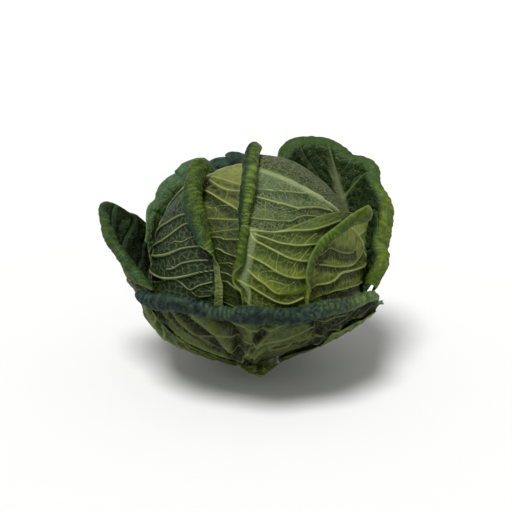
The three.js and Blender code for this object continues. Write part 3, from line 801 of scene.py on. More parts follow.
BOWL_RIGHT = dict(
    name="outer_leaf_right",
    guides=[
        [[84, 17.4, 13], [79, 45, 30], [73, 68, 44.5], [71, 82, 59.5], [72, 85, 74]],
        [[96, 17.4, 12], [94, 46, 29], [92, 72, 46], [91, 86, 68], [91, 91, 97]],
        [[112, 17.4, 10], [112, 48, 25], [112, 76, 43], [113, 94, 78], [113, 99.5, 134]],
        [[124, 17.4, 10], [126, 47, 24], [128, 75, 42], [131, 94, 84], [132, 98, 149]],
        [[135, 17.4, 11], [140, 46, 24], [144, 72, 42], [147, 88, 88], [149, 81, 159]],
        [[146, 17.4, 12], [150, 45, 25], [156, 70, 42], [159, 80, 92], [159, 68, 149]],
    ],
    rib=dict(over=0.6, rise=[3.6, 2.8, 2.2, 1.4, 0.6], half=0.05, bend=0.07, taper=0.1, paint=(0, 0.35)),
    wave=(1.6, 5, 1.4),
    finish=dict(radius=[4, 5, 5, 5, 7, 8.5, 9, 6], turn=[250, 285, 285, 270, 180, 130, 120, 110]),
)
UNDER_LEFT = dict(
    name="under_leaf_left",
    round=(0.3, 0.1),
    guides=[
        [[-84, 17.4, 5], [-88, 48, 18], [-90, 78, 36], [-86, 88, 52]],
        [[-58, 17.4, 4.5], [-60, 50, 19.5], [-61, 79, 38.5], [-62, 93, 70]],
        [[-37, 17.4, 5], [-38, 42, 18], [-43, 66, 33], [-50, 87.5, 51]],
    ],
    rib=UNDER_RIB,
    wave=(1.5, 4, 0.5),
)
UNDER_RIGHT = dict(
    name="under_leaf_right",
    round=(0.1, 0.14),
    guides=[
        [[69, 17.4, 7], [55, 46, 21.5], [45, 68, 36], [38, 86, 54]],
        [[80, 17.4, 5], [74, 49, 21.5], [70, 76, 40], [68, 92, 54.5]],
        [[98, 17.4, 5], [96, 50, 18], [94, 78, 37], [86, 97, 62]],
    ],
    rib=UNDER_RIB,
    wave=(1.5, 4, 2.5),
)
UNDER_BACK = dict(
    name="under_leaf_back",
    round=(0.14, 0.14),
    guides=[
        [[132, 17.4, 5], [134, 50, 13.5], [136, 78, 31], [140, 96, 52]],
        [[168, 17.4, 4.5], [170, 50, 13], [171, 80, 30], [172, 98, 56]],
        [[204, 17.4, 5], [206, 50, 13.5], [206, 78, 31], [204, 95, 52]],
    ],
    rib=UNDER_RIB,
    wave=(1.5, 4, 1.5),
)
FOOT = dict(
    name="foot_scale",
    guides=[
        [[-30, 18.5, 4], [-24, 30, 9], [-16, 39, 13]],
        [[4, 18.2, 3.6], [4, 32, 9.6], [2, 48, 11]],
        [[30, 18.5, 4], [28, 31, 10.5], [24, 40, 16]],
    ],
    rib=dict(over=0.5, rise=[1.2, 0.8, 0.4], half=0.12),
    wave=(0.8, 3, 0),
)


def back_leaf(name, facing, lift):
    side = [[-8, -77], [-34, -40], [-48, 0], [-48, 28], [-38, 54], [-20, 72]]
    middle = [[0, -79], [0, -44], [0, -8], [0, 20], [0, 48], [0, 76]]
    guides = [side, middle, [[-across, up] for across, up in side]]
    rib = dict(out=0.5, rise=[2, 1.4, 1.0, 0.6], half=0.12)
    return dict(name=name, facing=facing, lift=lift, guides=guides, rib=rib)


BACK_LEFT = back_leaf("head_leaf_back_left", -140, FOURTH)
BACK_RIGHT = back_leaf("head_leaf_back_right", 130, FIFTH)


def twigs(*lines):
    """Thin veins that lie between the others."""
    return [(0.4, 0.35, 0, line) for line in lines]


# Veins of the head's leaves, in degrees across and up: half width, ridge, pleat beneath, line
FRONT["veins"] = [
    (0.8, 0.7, 1.0, [[-4, 33.5], [4, 33.5], [10, 33.5], [18, 34.5], [26, 36], [34, 40], [42, 46]]),
    (0.7, 0.8, 1.1, [[-1, 32], [4, 30.5], [10.5, 28.5], [16, 28], [20.5, 28], [29, 29.5], [38, 31]]),
    (0.8, 0.9, 1.2, [[-3, 32.5], [-1, 29.5], [4, 27], [9.5, 24.5], [15.5, 22], [22.5, 21], [31, 21.5]]),
    (0.8, 0.9, 1.3, [[-4, 23], [0.5, 21], [4.5, 19], [9.5, 16], [15, 14], [20.5, 13.5], [27, 14.5]]),
    (0.7, 0.7, 0.9, [[-4, 17], [0, 13.5], [4, 11], [7.5, 8], [10.5, 7], [18, 7], [25, 8]]),
    (0.45, 0.4, 0.3, [[3.5, 11.5], [6.5, 12.5], [10.5, 11.5], [15, 10.5], [18, 12]]),
    (0.8, 0.8, 1.0, [[-9, 13], [-4.5, 11], [0, 8.5], [4.5, 6], [9.5, 3.5], [15, 2.5], [22, 4.5]]),
    (0.6, 0.5, 0.5, [[-7, 12.5], [-4, 10], [-3, 8], [-4, 2], [-6, -10]]),
    (0.7, 0.7, 0.8, [[-5, 4], [2, 0], [9, -4], [20, -6]]),
    (0.7, 0.7, 0.8, [[-5, -8], [4, -13], [20, -16]]),
] + twigs(
    [[1, 20.5], [4, 22.5], [5, 26]],
    [[9, 16], [9, 19.5], [10, 22.5], [9.5, 24.5]],
    [[16, 14], [18, 17], [17.5, 19], [19.5, 21.5]],
    [[1, 13], [1, 15.5], [5, 16.5], [8.5, 16]],
    [[15, 28], [18, 31.5], [20, 34]],
    [[19.5, 21], [23, 24.5], [26, 28]],
    [[22.5, 28.5], [24.5, 31], [29, 35]],
    [[7, 29.5], [8, 31.5], [9, 33.5]],
)
CROWN["veins"] = [
    (0.7, 0.6, 0.9, [[-3, 56.5], [4, 56], [11.5, 56.5], [20.5, 58.5], [28.5, 61], [36, 64]]),
    (0.8, 0.8, 1.0, [[-3, 52.5], [3, 51], [9, 49.5], [14, 49], [20, 48.5], [24.5, 50], [32, 54],
                     [38, 56.5], [45, 60.5]]),
    (0.45, 0.4, 0.3, [[10.5, 43], [14, 45], [18.5, 46.5], [23, 49]]),
    (0.6, 0.6, 0.7, [[-5, 40.5], [3, 40], [10, 40], [17, 40.5]]),
    (0.6, 0.6, 0.7, [[17, 40.5], [23.5, 45], [32, 48], [39, 50.5], [48, 58]]),
    (0.45, 0.4, 0.3, [[-3, 61], [0.5, 62], [5.5, 63], [12.5, 64], [20, 64.5]]),
    (0.4, 0.3, 0.2, [[19.5, 64], [26, 72], [31, 86], [31, 106]]),
    (0.4, 0.3, 0.2, [[31, 62], [40, 74], [46, 90], [46, 112]]),
    (0.4, 0.3, 0.2, [[41, 61], [50, 70], [57, 90], [60, 112]]),
] + twigs(
    [[-1.5, 46.5], [2, 44], [-2, 40.5]],
    [[5, 40], [5.5, 43.5], [8, 45], [11, 49]],
    [[16, 40], [16, 43], [19, 44.5], [21, 43]],
    [[26, 46], [27, 49], [29, 52]],
    [[14, 49], [15, 53], [14, 57]],
)
CENTRE["veins"] = [
    (0.6, 0.5, 0.6, [[-36, 96], [-28, 84], [-23, 77], [-17, 69.5], [-9.5, 63], [-2, 60]]),
    (0.7, 0.6, 0.9, [[-37, 92], [-29, 84], [-25.5, 75.5], [-21.5, 67.5], [-17, 62], [-11.5, 59], [-3, 57]]),
    (0.8, 0.8, 1.2, [[-37, 74], [-29.5, 68], [-24, 61], [-19, 55], [-14, 50.5], [-8.5, 46], [-2, 42]]),
    (0.5, 0.4, 0.6, [[-36, 58], [-28, 54], [-23.5, 51], [-19, 51.5], [-14, 50]]),
    (0.6, 0.6, 0.8, [[-37, 48], [-25.5, 45], [-19, 43], [-14, 42], [-9, 41.5], [0, 40]]),
    (0.5, 0.5, 0.6, [[-36, 38], [-22, 36.5], [-16.5, 36.5], [-12, 36.5], [0, 37]]),
    (0.6, 0.6, 1.0, [[-36, 36], [-20, 33.5], [-16.5, 32], [-11, 31.5], [0, 30]]),
    (0.6, 0.6, 1.0, [[-36, 31], [-20, 27.5], [-16.5, 25.5], [-11, 23.5], [0, 20]]),
    (0.5, 0.5, 0.8, [[-36, 21], [-18, 20.5], [-14.5, 20.5], [-10.5, 19.5], [0, 17]]),
    (0.6, 0.6, 0.9, [[-36, 19], [-17.5, 16], [-13.5, 14.5], [-11, 14], [0, 11]]),
    (0.6, 0.6, 0.9, [[-36, 13], [-17.5, 12], [-13, 10], [-9, 7.5], [2, 3]]),
    (0.6, 0.6, 0.8, [[-36, 4], [-18, 2], [-8, -2], [2, -7]]),
] + twigs(
    [[-16.5, 54], [-15.5, 58], [-15, 61]],
    [[-22, 45], [-21, 48], [-22, 51]],
    [[-25, 68], [-22, 72], [-21, 76]],
)
LEFT["veins"] = [
    ([1.2, 1.6, 1.6, 1.1], 1.2, 0, [[-20, -50], [-40, -20], [-45, 5], [-47, 24], [-46, 42],
                                    [-42, 58], [-36, 72]]),
    (0.6, 0.6, 0.9, [[-47, 35], [-42, 44], [-32, 52], [-22, 57], [-14, 60]]),
    (0.8, 0.8, 1.3, [[-47, 26], [-37.5, 29.5], [-23.5, 32.5], [-15, 35], [-9, 37.5], [-2.5, 39], [6, 40]]),
    (0.8, 0.8, 1.2, [[-46, 19], [-33.5, 20.5], [-21, 23.5], [-14, 26.5], [-9, 29.5], [-4, 33],
                     [-0.5, 34.5], [10, 36]]),
    (0.6, 0.6, 0.6, [[-9, 23.5], [-6, 25], [-0.5, 25.5], [3.5, 28], [7, 29.5], [13, 31.5]]),
    ([1.3, 1.2, 0.8, 0.6], 1.1, 1.4, [[-45, 12], [-36, 14], [-26, 15], [-12.5, 17.5], [-5.5, 20],
                                      [0, 22.5], [6.5, 24.5], [11.5, 26], [18, 28]]),
    (0.8, 0.7, 1.0, [[-8.5, 11.5], [-4, 12.5], [-1, 14], [2, 16], [6, 17.5], [10.5, 19], [18, 21]]),
    (0.4, 0.4, 0, [[-2, 13.5], [-5.5, 14], [-8.5, 15.5], [-7.5, 18]]),
    ([1.5, 1.4, 1.1, 0.8], 1.3, 1.4, [[-44, 3], [-36, 5], [-26.5, 5.5], [-16, 6], [-6.5, 7.5],
                                      [3, 10], [10, 12.5], [14.5, 14.5], [22, 17]]),
    (0.6, 0.6, 0.8, [[-42, -6], [-30, 0], [-19, 3], [-9.5, 6]]),
    (0.7, 0.7, 0.7, [[-4, 8], [-0.5, 8], [4.5, 7], [10, 5.5], [15, 8.5], [22, 11.5]]),
    (0.6, 0.6, 0.7, [[10, 5.5], [12.5, 4], [16, 3.5], [22, 5]]),
    (0.4, 0.4, 0, [[-17.5, 12], [-12, 10], [-10.5, 8]]),
    (0.6, 0.6, 0.8, [[-40, -16], [-20, -8], [0, -4], [22, -2]]),
    (0.7, 0.6, 0.6, [[-47, 20], [-54, 28], [-62, 34]]),
    (0.7, 0.6, 0.6, [[-46, 34], [-54, 42], [-62, 48]]),
    (0.7, 0.6, 0.6, [[-45, 6], [-54, 12], [-63, 18]]),
    (0.7, 0.6, 0.6, [[-42, -8], [-52, -4], [-62, 2]]),
] + twigs(
    [[-20, 16], [-19, 20], [-20, 24]],
    [[-30, 15], [-30, 19], [-31, 21]],
)
RIGHT["veins"] = [
    ([1.6, 1.4, 1.1, 0.9], 1.2, 0, [[44, -30], [44, -5], [40, 8], [34, 18], [26, 25], [17, 30]]),
    (0.6, 0.5, 0.5, [[24, 25], [30, 26], [40, 28]]),
    (0.6, 0.5, 0.5, [[31, 20], [38, 21], [48, 22]]),
    (0.8, 0.8, 1.2, [[-10, 17], [-7.5, 16.5], [-2.5, 15], [4, 13.5], [12.5, 12.5], [17.5, 12.5],
                     [27, 15], [34, 18]]),
    ([0.7, 1.3, 1.5, 1.2], 1.6, 2.0, [[-17, 7.5], [-14, 8.5], [-8.5, 8], [-4, 8], [-0.5, 9],
                                      [4, 10.5], [11.5, 10], [23.5, 9], [38, 9]]),
    (0.8, 1.0, 1.8, [[-8, 3], [-2, 3.5], [2.5, 3], [11, 2.5], [19.5, 1.5], [36, 0]]),
    (0.7, 1.2, 2.2, [[-9, 21], [-6, 22], [-1.5, 23], [3, 21], [7, 19.5], [12, 18.5], [18, 18]]),
    (0.6, 0.6, 0.7, [[-18, 2], [-13.5, 3], [-8.5, 3], [-4, 3.5]]),
    (0.7, 0.8, 0.9, [[-20, -6], [-5, -4], [15, -6], [40, -12]]),
    (0.5, 0.5, 0.5, [[-24, 14], [-18, 13], [-12, 14]]),
    (0.7, 0.6, 0.6, [[44, 0], [54, 6], [64, 8]]),
    (0.7, 0.6, 0.6, [[38, 12], [48, 20], [56, 24]]),
    (0.7, 0.6, 0.6, [[44, -16], [54, -14], [62, -10]]),
] + twigs(
    [[-2, 15], [-1, 18], [0, 21]],
    [[6, 13], [7, 16], [6, 19]],
    [[14, 12.5], [15, 15], [14, 18]],
    [[0, 9], [1, 11], [0, 14]],
    [[9, 10], [10, 12], [9, 13]],
)
for leaf in (BACK_LEFT, BACK_RIGHT):
    leaf["veins"] = [([2.2, 1.8, 1.2, 0.7], 0.8, 0, [[0, -70], [0, -30], [0, 20], [0, 74]])]
    for side in (-1, 1):
        for k, up in enumerate((-38, -24, -10, 4, 18, 31, 43, 55)):
            bend = 1.5 * ((k * 5 + side) % 3)
            line = [[0, up], [side * 14, up + 9 + bend], [side * 30, up + 15], [side * 50, up + 17 - bend]]
            leaf["veins"].append(([1.3, 0.9, 0.6, 0.4], 0.8, 0.9, line))

# Greens, in linear light. Each look has two greens for the outer face, the painted shade of its hollows,
# the green of its veins, of its midrib and of its very edge; two greens and the vein's for the inner face;
# and two greens and the painted shade of their grooves for the rolled rims.
CREAM = (0.32, 0.36, 0.115)
WHITISH = (0.26, 0.3, 0.16)
PALE_EDGE = (0.22, 0.27, 0.08)
DARK_INSIDE = ((0.018, 0.05, 0.014), (0.04, 0.085, 0.02), (0.16, 0.22, 0.08))
GREEN_RIM = ((0.13, 0.2, 0.045), (0.08, 0.15, 0.05), (0.035, 0.07, 0.018))
BLUE_RIM = ((0.032, 0.068, 0.046), (0.028, 0.06, 0.044), (0.006, 0.018, 0.01))
UNDERSIDE = dict(
    outer=((0.046, 0.064, 0.009), (0.105, 0.138, 0.028)),
    low=(0.004, 0.007, 0.001),
    vein=(0.12, 0.15, 0.036),
    rib=(0.17, 0.205, 0.085),
)
PALE_FOOT = ((0.3, 0.38, 0.08), (0.32, 0.4, 0.09))


# The low green is the painted shade of the leaf's hollows.
def look(outer, low, **more):
    """A leaf's colours and how much each pattern shows, with the usual ones where it has no own."""
    usual = dict(vein=CREAM, rib=WHITISH, edge=PALE_EDGE, inner=DARK_INSIDE, roll=GREEN_RIM)
    made = dict(usual, outer=outer, low=low, **more)
    made.setdefault("dark", tuple(0.4 * v for v in made["inner"][0]))
    return made


def rise_tone(low, high):
    """From the first green at height low to the second at height high."""
    return lambda over, out, point: smooth(low, high, point[..., 2])


def side_tone(start, end):
    """From the first green at share start along the veins to the second at share end."""
    return lambda over, out, point: smooth(start, end, out)


FRONT.update(
    look=look(
        ((0.168, 0.222, 0.02), (0.108, 0.152, 0.033)), (0.026, 0.046, 0.003), rib=(0.14, 0.185, 0.075),
        roll=((0.056, 0.088, 0.01), (0.08, 0.135, 0.008), (0.02, 0.038, 0.003)),
        wax=0.04, small_show=0.07, net_show=0.24,
    ),
    tone=rise_tone(92, 122), cell=(6.0, 5.2), puff=0.35, gap=0.8, dome=0.5,
    roll_tone=lambda over, turned: smooth(0.6, 0.75, over),
)
CROWN.update(
    look=look(
        ((0.07, 0.105, 0.026), (0.095, 0.14, 0.062)), (0.014, 0.028, 0.008), rib=(0.26, 0.31, 0.15),
        net_show=0.24, small_show=0.34, small=(2.2, 2.6), wax=0.1,
        roll=((0.15, 0.225, 0.022), (0.008, 0.025, 0.013), (0.014, 0.03, 0.004)),
    ),
    tone=rise_tone(118, 145), cell=(5.6, 7.0), puff=0.3, gap=0.8, dome=0.9, ring=(2.7, 16.0),
    # Painted light and shade on the roll: dark blue-green where it has turned less far, yellow-green where
    # it has turned further
    roll_tone=lambda over, turned: 1 - smooth(2.5, 3.7, turned),
    # Painted shade: heavy above the midrib, a little near the lower edge, and a trace everywhere
    shade=lambda over, out, point: 0.02 + 0.85 * smooth(0.64, 0.68, over) + 0.12 * smooth(0.35, 0.1, over),
)
CENTRE.update(
    look=look(
        ((0.026, 0.042, 0.003), (0.25, 0.282, 0.074)), (0.01, 0.02, 0.001), net_show=0.12,
        small_show=0.05, wax=0.05,
    ),
    tone=rise_tone(105, 160), cell=(6, 8), gap=0.8, puff=0.2, pleat_width=3.2,
)
LEFT.update(
    look=look(
        ((0.064, 0.102, 0.013), (0.014, 0.034, 0.013)), (0.005, 0.016, 0.004), vein=(0.25, 0.29, 0.12),
        net_show=0.24, small_show=0.09, small=(1.9, 3.0), rib=(0.2, 0.24, 0.07), wax=0.05,
        roll=((0.092, 0.15, 0.014), (0.016, 0.052, 0.028), (0.01, 0.024, 0.005)),
    ),
    tone=rise_tone(62, 92), cell=(4.4, 7.0), puff=0.5, gap=0.85, dome=0.9,
    ring=(2.8, 15.0), strip=True,
    # Painted shade on the roll: dark blue-green where it has turned furthest, along the middle of its
    # length
    roll_tone=lambda over, turned: (
        smooth(2.6, 3.6, turned) * smooth(0.98, 0.8, over) * smooth(0.58, 0.68, over)
    ),
    # Painted shade, more of it higher up
    shade=lambda over, out, point: 0.2 + 0.35 * smooth(70, 100, point[..., 2]),
)
RIGHT.update(
    look=look(
        ((0.24, 0.285, 0.03), (0.2, 0.26, 0.04)), (0.018, 0.028, 0.002), net_show=0.22,
        small=(5.0, 2.2), small_show=0.15, wax=0.03,
    ),
    tone=rise_tone(60, 115), cell=(9.0, 5.4), puff=0.25, gap=0.8, pleat_width=1.9,
)
for leaf in (BACK_LEFT, BACK_RIGHT):
    leaf.update(
        look=look(((0.075, 0.11, 0.022), (0.095, 0.135, 0.045)), (0.024, 0.042, 0.008), wax=0.1),
        tone=rise_tone(60, 140), gap=1.5,
    )
BOWL_FRONT.update(
    look=look(
        **UNDERSIDE, roll=((0.017, 0.038, 0.026), (0.13, 0.205, 0.05), (0.001, 0.005, 0.002)),
        # The roll's grooves get near-black painted shade, paler towards its grass-green end
        groove_end=(0.035, 0.066, 0.018), groove_show=0.95, edge=(0.03, 0.06, 0.04), edge_show=0.2,
        net_show=0.35, small_show=0.15, small=(3.0, 3.0),
    ),
    # The underside's folds get a painted highlight on their ridges and painted shade in their dents
    tone=side_tone(0.3, 1.6), fold_tone=0.5, cell=(5.5, 6.5), gap=0.95, ragged=0.1, fade=8,
    dome=1.1, ring=(3.4, 13.0), lean=0.55, pleat=0.5,
    # Painted shadow on the underside's right half, under the roll
    shade=lambda over, out, point: 0.03 + 0.85 * smooth(0.53, 0.65, over),
    roll_tone=lambda over, turned: smooth(0.52, 0.84, over),
    bubbly=lambda over: smooth(0.42, 0.52, over) * smooth(0.76, 0.68, over), bubble=(4.4, 5.6),
    forks=(0.5, 0.66, 0.82),
)
BOWL_FRONT["creases"] = [
    (3.2, 2.2, [[0.327, 0.3], [0.327, 0.53], [0.294, 0.756], [0.26, 0.856], [0.223, 0.93]]),
    (1.8, -2.6, [[0.31, 0.385], [0.265, 0.66], [0.215, 0.794], [0.181, 0.89]]),
    (2.6, 1.6, [[0.306, 0.356], [0.231, 0.498], [0.144, 0.573], [0.094, 0.723], [0.031, 0.84]]),
    (1.4, -1.6, [[0.26, 0.52], [0.21, 0.62], [0.16, 0.72], [0.12, 0.85]]),
    (2.0, 1.2, [[0.244, 0.54], [0.223, 0.685], [0.194, 0.76], [0.16, 0.86]]),
    (1.6, 1.7, [[0.327, 0.256], [0.385, 0.648], [0.385, 0.777], [0.373, 0.873], [0.348, 0.94]]),
    (1.9, -3.0, [[0.335, 0.415], [0.345, 0.673], [0.34, 0.777], [0.319, 0.869], [0.294, 0.935]]),
    (2.0, 1.6, [[0.365, 0.356], [0.406, 0.698], [0.431, 0.815], [0.452, 0.885]]),
    (1.3, -2.2, [[0.381, 0.594], [0.395, 0.719], [0.412, 0.81], [0.427, 0.9]]),
    (2.8, 2.0, [[0.352, 0.294], [0.431, 0.61], [0.49, 0.69], [0.54, 0.7], [0.59, 0.68]]),
    (1.5, -3.2, [[0.315, 0.185], [0.44, 0.56], [0.498, 0.62], [0.56, 0.6], [0.61, 0.62]]),
    (2.2, -3.2, [[0.6, 0.68], [0.577, 0.802], [0.55, 0.88], [0.54, 0.95]]),
    (1.6, 1.4, [[0.59, 0.7], [0.552, 0.84], [0.523, 0.915], [0.498, 0.969]]),
    (2.0, 1.8, [[0.606, 0.6], [0.631, 0.769], [0.681, 0.873], [0.72, 0.96]]),
    (1.5, -2.0, [[0.62, 0.5], [0.66, 0.769], [0.72, 0.873], [0.77, 0.96]]),
    (1.8, 1.5, [[0.66, 0.5], [0.7, 0.75], [0.76, 0.86], [0.82, 0.96]]),
    (1.4, -1.8, [[0.7, 0.5], [0.745, 0.75], [0.8, 0.86], [0.86, 0.96]]),
    (1.6, 1.4, [[0.74, 0.5], [0.79, 0.75], [0.84, 0.86], [0.9, 0.96]]),
    (1.4, -1.5, [[0.78, 0.5], [0.83, 0.75], [0.885, 0.86], [0.94, 0.96]]),
    (1.5, -1.5, [[0.1, 0.5], [0.09, 0.7], [0.05, 0.9]]),
]
BOWL_FRONT["veins"] = [
    (0.6, 0.6, 0, [[0.327, 0.3], [0.385, 0.648], [0.385, 0.777], [0.373, 0.873], [0.348, 0.96]]),
    (0.5, 0.5, 0, [[0.385, 0.7], [0.36, 0.8], [0.33, 0.9], [0.31, 0.98]]),
    (0.6, 0.6, 0, [[0.365, 0.5], [0.41, 0.72], [0.44, 0.84], [0.47, 0.96]]),
    (0.5, 0.5, 0, [[0.39, 0.56], [0.43, 0.76], [0.48, 0.86], [0.53, 0.94]]),
    (0.5, 0.5, 0, [[0.31, 0.4], [0.3, 0.72], [0.275, 0.84], [0.24, 0.94]]),
    (0.5, 0.5, 0, [[0.3, 0.45], [0.23, 0.68], [0.17, 0.82], [0.12, 0.95]]),
    (0.5, 0.5, 0, [[0.28, 0.44], [0.17, 0.6], [0.1, 0.74], [0.04, 0.9]]),
    (0.5, 0.5, 0, [[0.45, 0.6], [0.56, 0.72], [0.62, 0.82], [0.66, 0.95]]),
    (0.5, 0.5, 0, [[0.55, 0.5], [0.68, 0.76], [0.74, 0.86], [0.8, 0.96]]),
    (0.5, 0.5, 0, [[0.65, 0.5], [0.78, 0.76], [0.84, 0.86], [0.9, 0.96]]),
]
BOWL_LEFT.update(
    puff=1.0,
    look=look(
        **UNDERSIDE, inner=((0.009, 0.02, 0.004), (0.014, 0.03, 0.006), (0.055, 0.09, 0.026)),
        roll=((0.046, 0.094, 0.01), (0.036, 0.076, 0.01), (0.01, 0.026, 0.004)), inner_net=0.5,
    ),
    tone=side_tone(0.4, 1.0), cell=(4.4, 8.0), gap=1.25, dome=0.8, ring=(3.2, 14.0),
)
BOWL_BACK_LEFT.update(
    puff=1.0,
    look=look(
        **UNDERSIDE, inner=((0.095, 0.16, 0.026), (0.075, 0.14, 0.04), (0.18, 0.25, 0.08)),
        roll=((0.085, 0.15, 0.044), (0.058, 0.115, 0.046), (0.03, 0.066, 0.022)),
        inner_net=0.25, inner_small=0.1, dark=(0.026, 0.06, 0.014),
    ),
    tone=side_tone(0.6, 1.0), cell=(5.0, 6.0), gap=1.25, dome=0.5, pleat=0.1, ragged=0.3,
    bubbly=np.ones_like, bubble=(5.0, 6.0),
)
BOWL_BACK.update(
    puff=1.0,
    look=look(
        **UNDERSIDE, inner=((0.016, 0.04, 0.016), (0.024, 0.054, 0.034), (0.06, 0.1, 0.05)), roll=BLUE_RIM,
    ),
    tone=side_tone(0.3, 1.0), cell=(5.0, 6.0), gap=1.4, dome=0.5, pleat=0.1, ragged=0.3,
    bubbly=np.ones_like, bubble=(5.0, 6.0),
)
BOWL_RIGHT.update(
    puff=1.0,
    look=look(
        **dict(UNDERSIDE, rib=(0.19, 0.225, 0.11)),
        inner=((0.007, 0.018, 0.003), (0.019, 0.043, 0.008), (0.13, 0.19, 0.055)),
        roll=((0.11, 0.165, 0.01), (0.036, 0.076, 0.016), (0.036, 0.066, 0.004)),
        inner_net=0.5, inner_small=0.12,
    ),
    tone=side_tone(0.5, 1.0), cell=(6.0, 7.0), gap=1.2, dome=0.8, ring=(3.2, 15.0),
    bubbly=lambda over: smooth(0.33, 0.5, over), bubble=(5.5, 5.5),
    roll_tone=lambda over, turned: smooth(0.3, 0.45, over),
)
BOWL_RIGHT["veins"] = [
    (0.6, 0.5, 0, [[0.6, 0.86], [0.575, 0.915], [0.548, 0.956], [0.519, 0.975], [0.49, 1.0]]),
    (0.6, 0.5, 0, [[0.64, 0.93], [0.619, 0.969], [0.585, 0.998], [0.556, 1.05]]),
    (0.6, 0.5, 0, [[0.66, 0.91], [0.71, 0.935], [0.744, 0.944], [0.777, 0.97]]),
    (0.6, 0.5, 0, [[0.665, 0.94], [0.723, 0.969], [0.752, 0.985], [0.77, 1.03]]),
]
UNDER_LOOK = dict(vein=(0.15, 0.19, 0.05), rib=(0.1, 0.13, 0.03), edge=(0.14, 0.19, 0.04), edge_show=0.6)
PLAIN_UNDER = look(((0.095, 0.13, 0.024), (0.085, 0.13, 0.024)), (0.016, 0.026, 0.004), **UNDER_LOOK)
UNDER_LEFT.update(look=PLAIN_UNDER, gap=1.25)
UNDER_BACK.update(look=PLAIN_UNDER, gap=1.6)
UNDER_RIGHT.update(
    look=look(((0.2, 0.26, 0.05), (0.2, 0.27, 0.05)), (0.03, 0.05, 0.01), **UNDER_LOOK), gap=1.25,
)
FOOT.update(
    look=look(
        PALE_FOOT, (0.06, 0.08, 0.02), **UNDER_LOOK,
        inner=(*PALE_FOOT, (0.34, 0.38, 0.12)), dark=(0.1, 0.13, 0.03),
    ),
    gap=0.7, forks=(0.2, 0.5, 0.8),
)
for leaf in (UNDER_LEFT, UNDER_RIGHT, UNDER_BACK, FOOT):
    leaf.update(tone=side_tone(0.2, 1.0), cell=(5.5, 5.5), pleat=1.2, fade=9)

LEAVES = [
    FRONT, CROWN, CENTRE, LEFT, RIGHT, BACK_LEFT, BACK_RIGHT,
    BOWL_FRONT, BOWL_LEFT, BOWL_BACK_LEFT, BOWL_BACK, BOWL_RIGHT,
    UNDER_LEFT, UNDER_RIGHT, UNDER_BACK, FOOT,
]


def lines_of(leaf):
    """The paths of a leaf's veins and those of its big folds."""
    if not is_head(leaf):
        veins = [(*own, leaf_line(leaf, line)) for *own, line in leaf.get("veins", [])]
        folds = [(*own, leaf_line(leaf, line)) for *own, line in leaf.get("creases", [])]
        return fan(leaf) + veins, folds
    paths = [(*own, head_line(leaf, line)) for *own, line in leaf["veins"]]
    if "line" in leaf.get("rib", {}):
        middle = np.full(LINE_POINTS, leaf["rib"]["line"])
        line = on_ball(spot(leaf, middle, np.linspace(0, 1, LINE_POINTS)))
        paths.append(([0.7, 0.9, 1.1], 0.6, 0, line))
    return paths, []


for number, leaf in enumerate(LEAVES):
    leaf["seed"] = 31 * number + 7
    if is_head(leaf):
        leaf["guides"] = [[(*place, leaf["lift"])[:3] for place in guide] for guide in leaf["guides"]]
    leaf["paths"], leaf["folds"] = lines_of(leaf)
    made = leaf_mesh(leaf, leaf_paint(leaf["name"] + ".paint", leaf["look"]))
    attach(made, "root")
    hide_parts(leaf["name"])


def closed_mesh(name, rings, marks, material):
    """A closed mesh of rings that are stacked from the bottom to the top."""
    rows, columns = rings.shape[:2]
    a = (np.arange(rows - 1)[:, None] * columns + np.arange(columns)).ravel()
    b = (np.arange(rows - 1)[:, None] * columns + np.roll(np.arange(columns), -1)).ravel()
    faces = np.stack([a, b, b + columns, a + columns], 1)
    return mesh_of(name, rings.reshape(-1, 3), faces, marks, material)


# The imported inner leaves: each one's edge winds up the head towards the crown
HEART_WINDINGS = 3
HEART_RIDGE = 1.2  # how far those edges stand out
HEART_RIBS = 14
POLE = 89.98  # the last ring's level, in degrees, which leaves no hole that shows
SHOWN_LEVEL = 20  # from here up the rings lie closer
turns = np.linspace(0, 360, 216, endpoint=False)
low_levels = np.linspace(-POLE, SHOWN_LEVEL, 25, endpoint=False)
levels = np.concatenate([low_levels, np.linspace(SHOWN_LEVEL, POLE, 54)])
azimuth, level = np.meshgrid(turns, levels)
winding = (azimuth / 360 * HEART_WINDINGS + (level + 90) / 180) % 1
lift = HEART_LIFT - HEART_RIDGE * np.minimum(winding, (1 - winding) * 12)
side = on_head(0, np.zeros(azimuth.size), level.ravel(), lift.ravel()).reshape(*azimuth.shape, 3)
radius = np.hypot(side[..., 0], side[..., 1])
ball = around(azimuth, radius, side[..., 2])
heart_flat = np.stack([azimuth * 1.1 * np.cos(np.radians(level)), level * 1.3], -1).reshape(-1, 2)
border, tint = cells(ball.reshape(-1, 3)[:, :2] + heart_flat * 0.2, (5, 5), 77)
ribs = np.abs(((azimuth / 360 * HEART_RIBS + level / 60) % 1) - 0.5).ravel() * 2
plain = np.zeros(border.size)
heart_marks = {
    "clear": np.clip((0.95 - ribs) * 20, -2, FAR),
    "net": np.minimum(border, FAR),
    "groove": plain + FAR,
    "flat": np.column_stack([heart_flat, plain]),
    # Painted shade that deepens towards each winding edge, under its lip
    "low": np.clip(winding.ravel() - 0.75, 0, 0.25) * 3,
    "dome": smooth(0, 1.5, border),
    "curl": plain,
    "edge": (winding.ravel() < 0.03).astype(float),
    "rib": plain,
    "tint": tint,
    "tone": smooth(60, 150, ball[..., 2]).ravel(),
    "inner": plain,
}
heart_look = look(((0.2, 0.25, 0.08), (0.3, 0.34, 0.13)), (0.09, 0.12, 0.03))
heart = closed_mesh("heart.fine", ball, heart_marks, leaf_paint("heart.paint", heart_look))
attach(heart, "root")
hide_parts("heart")

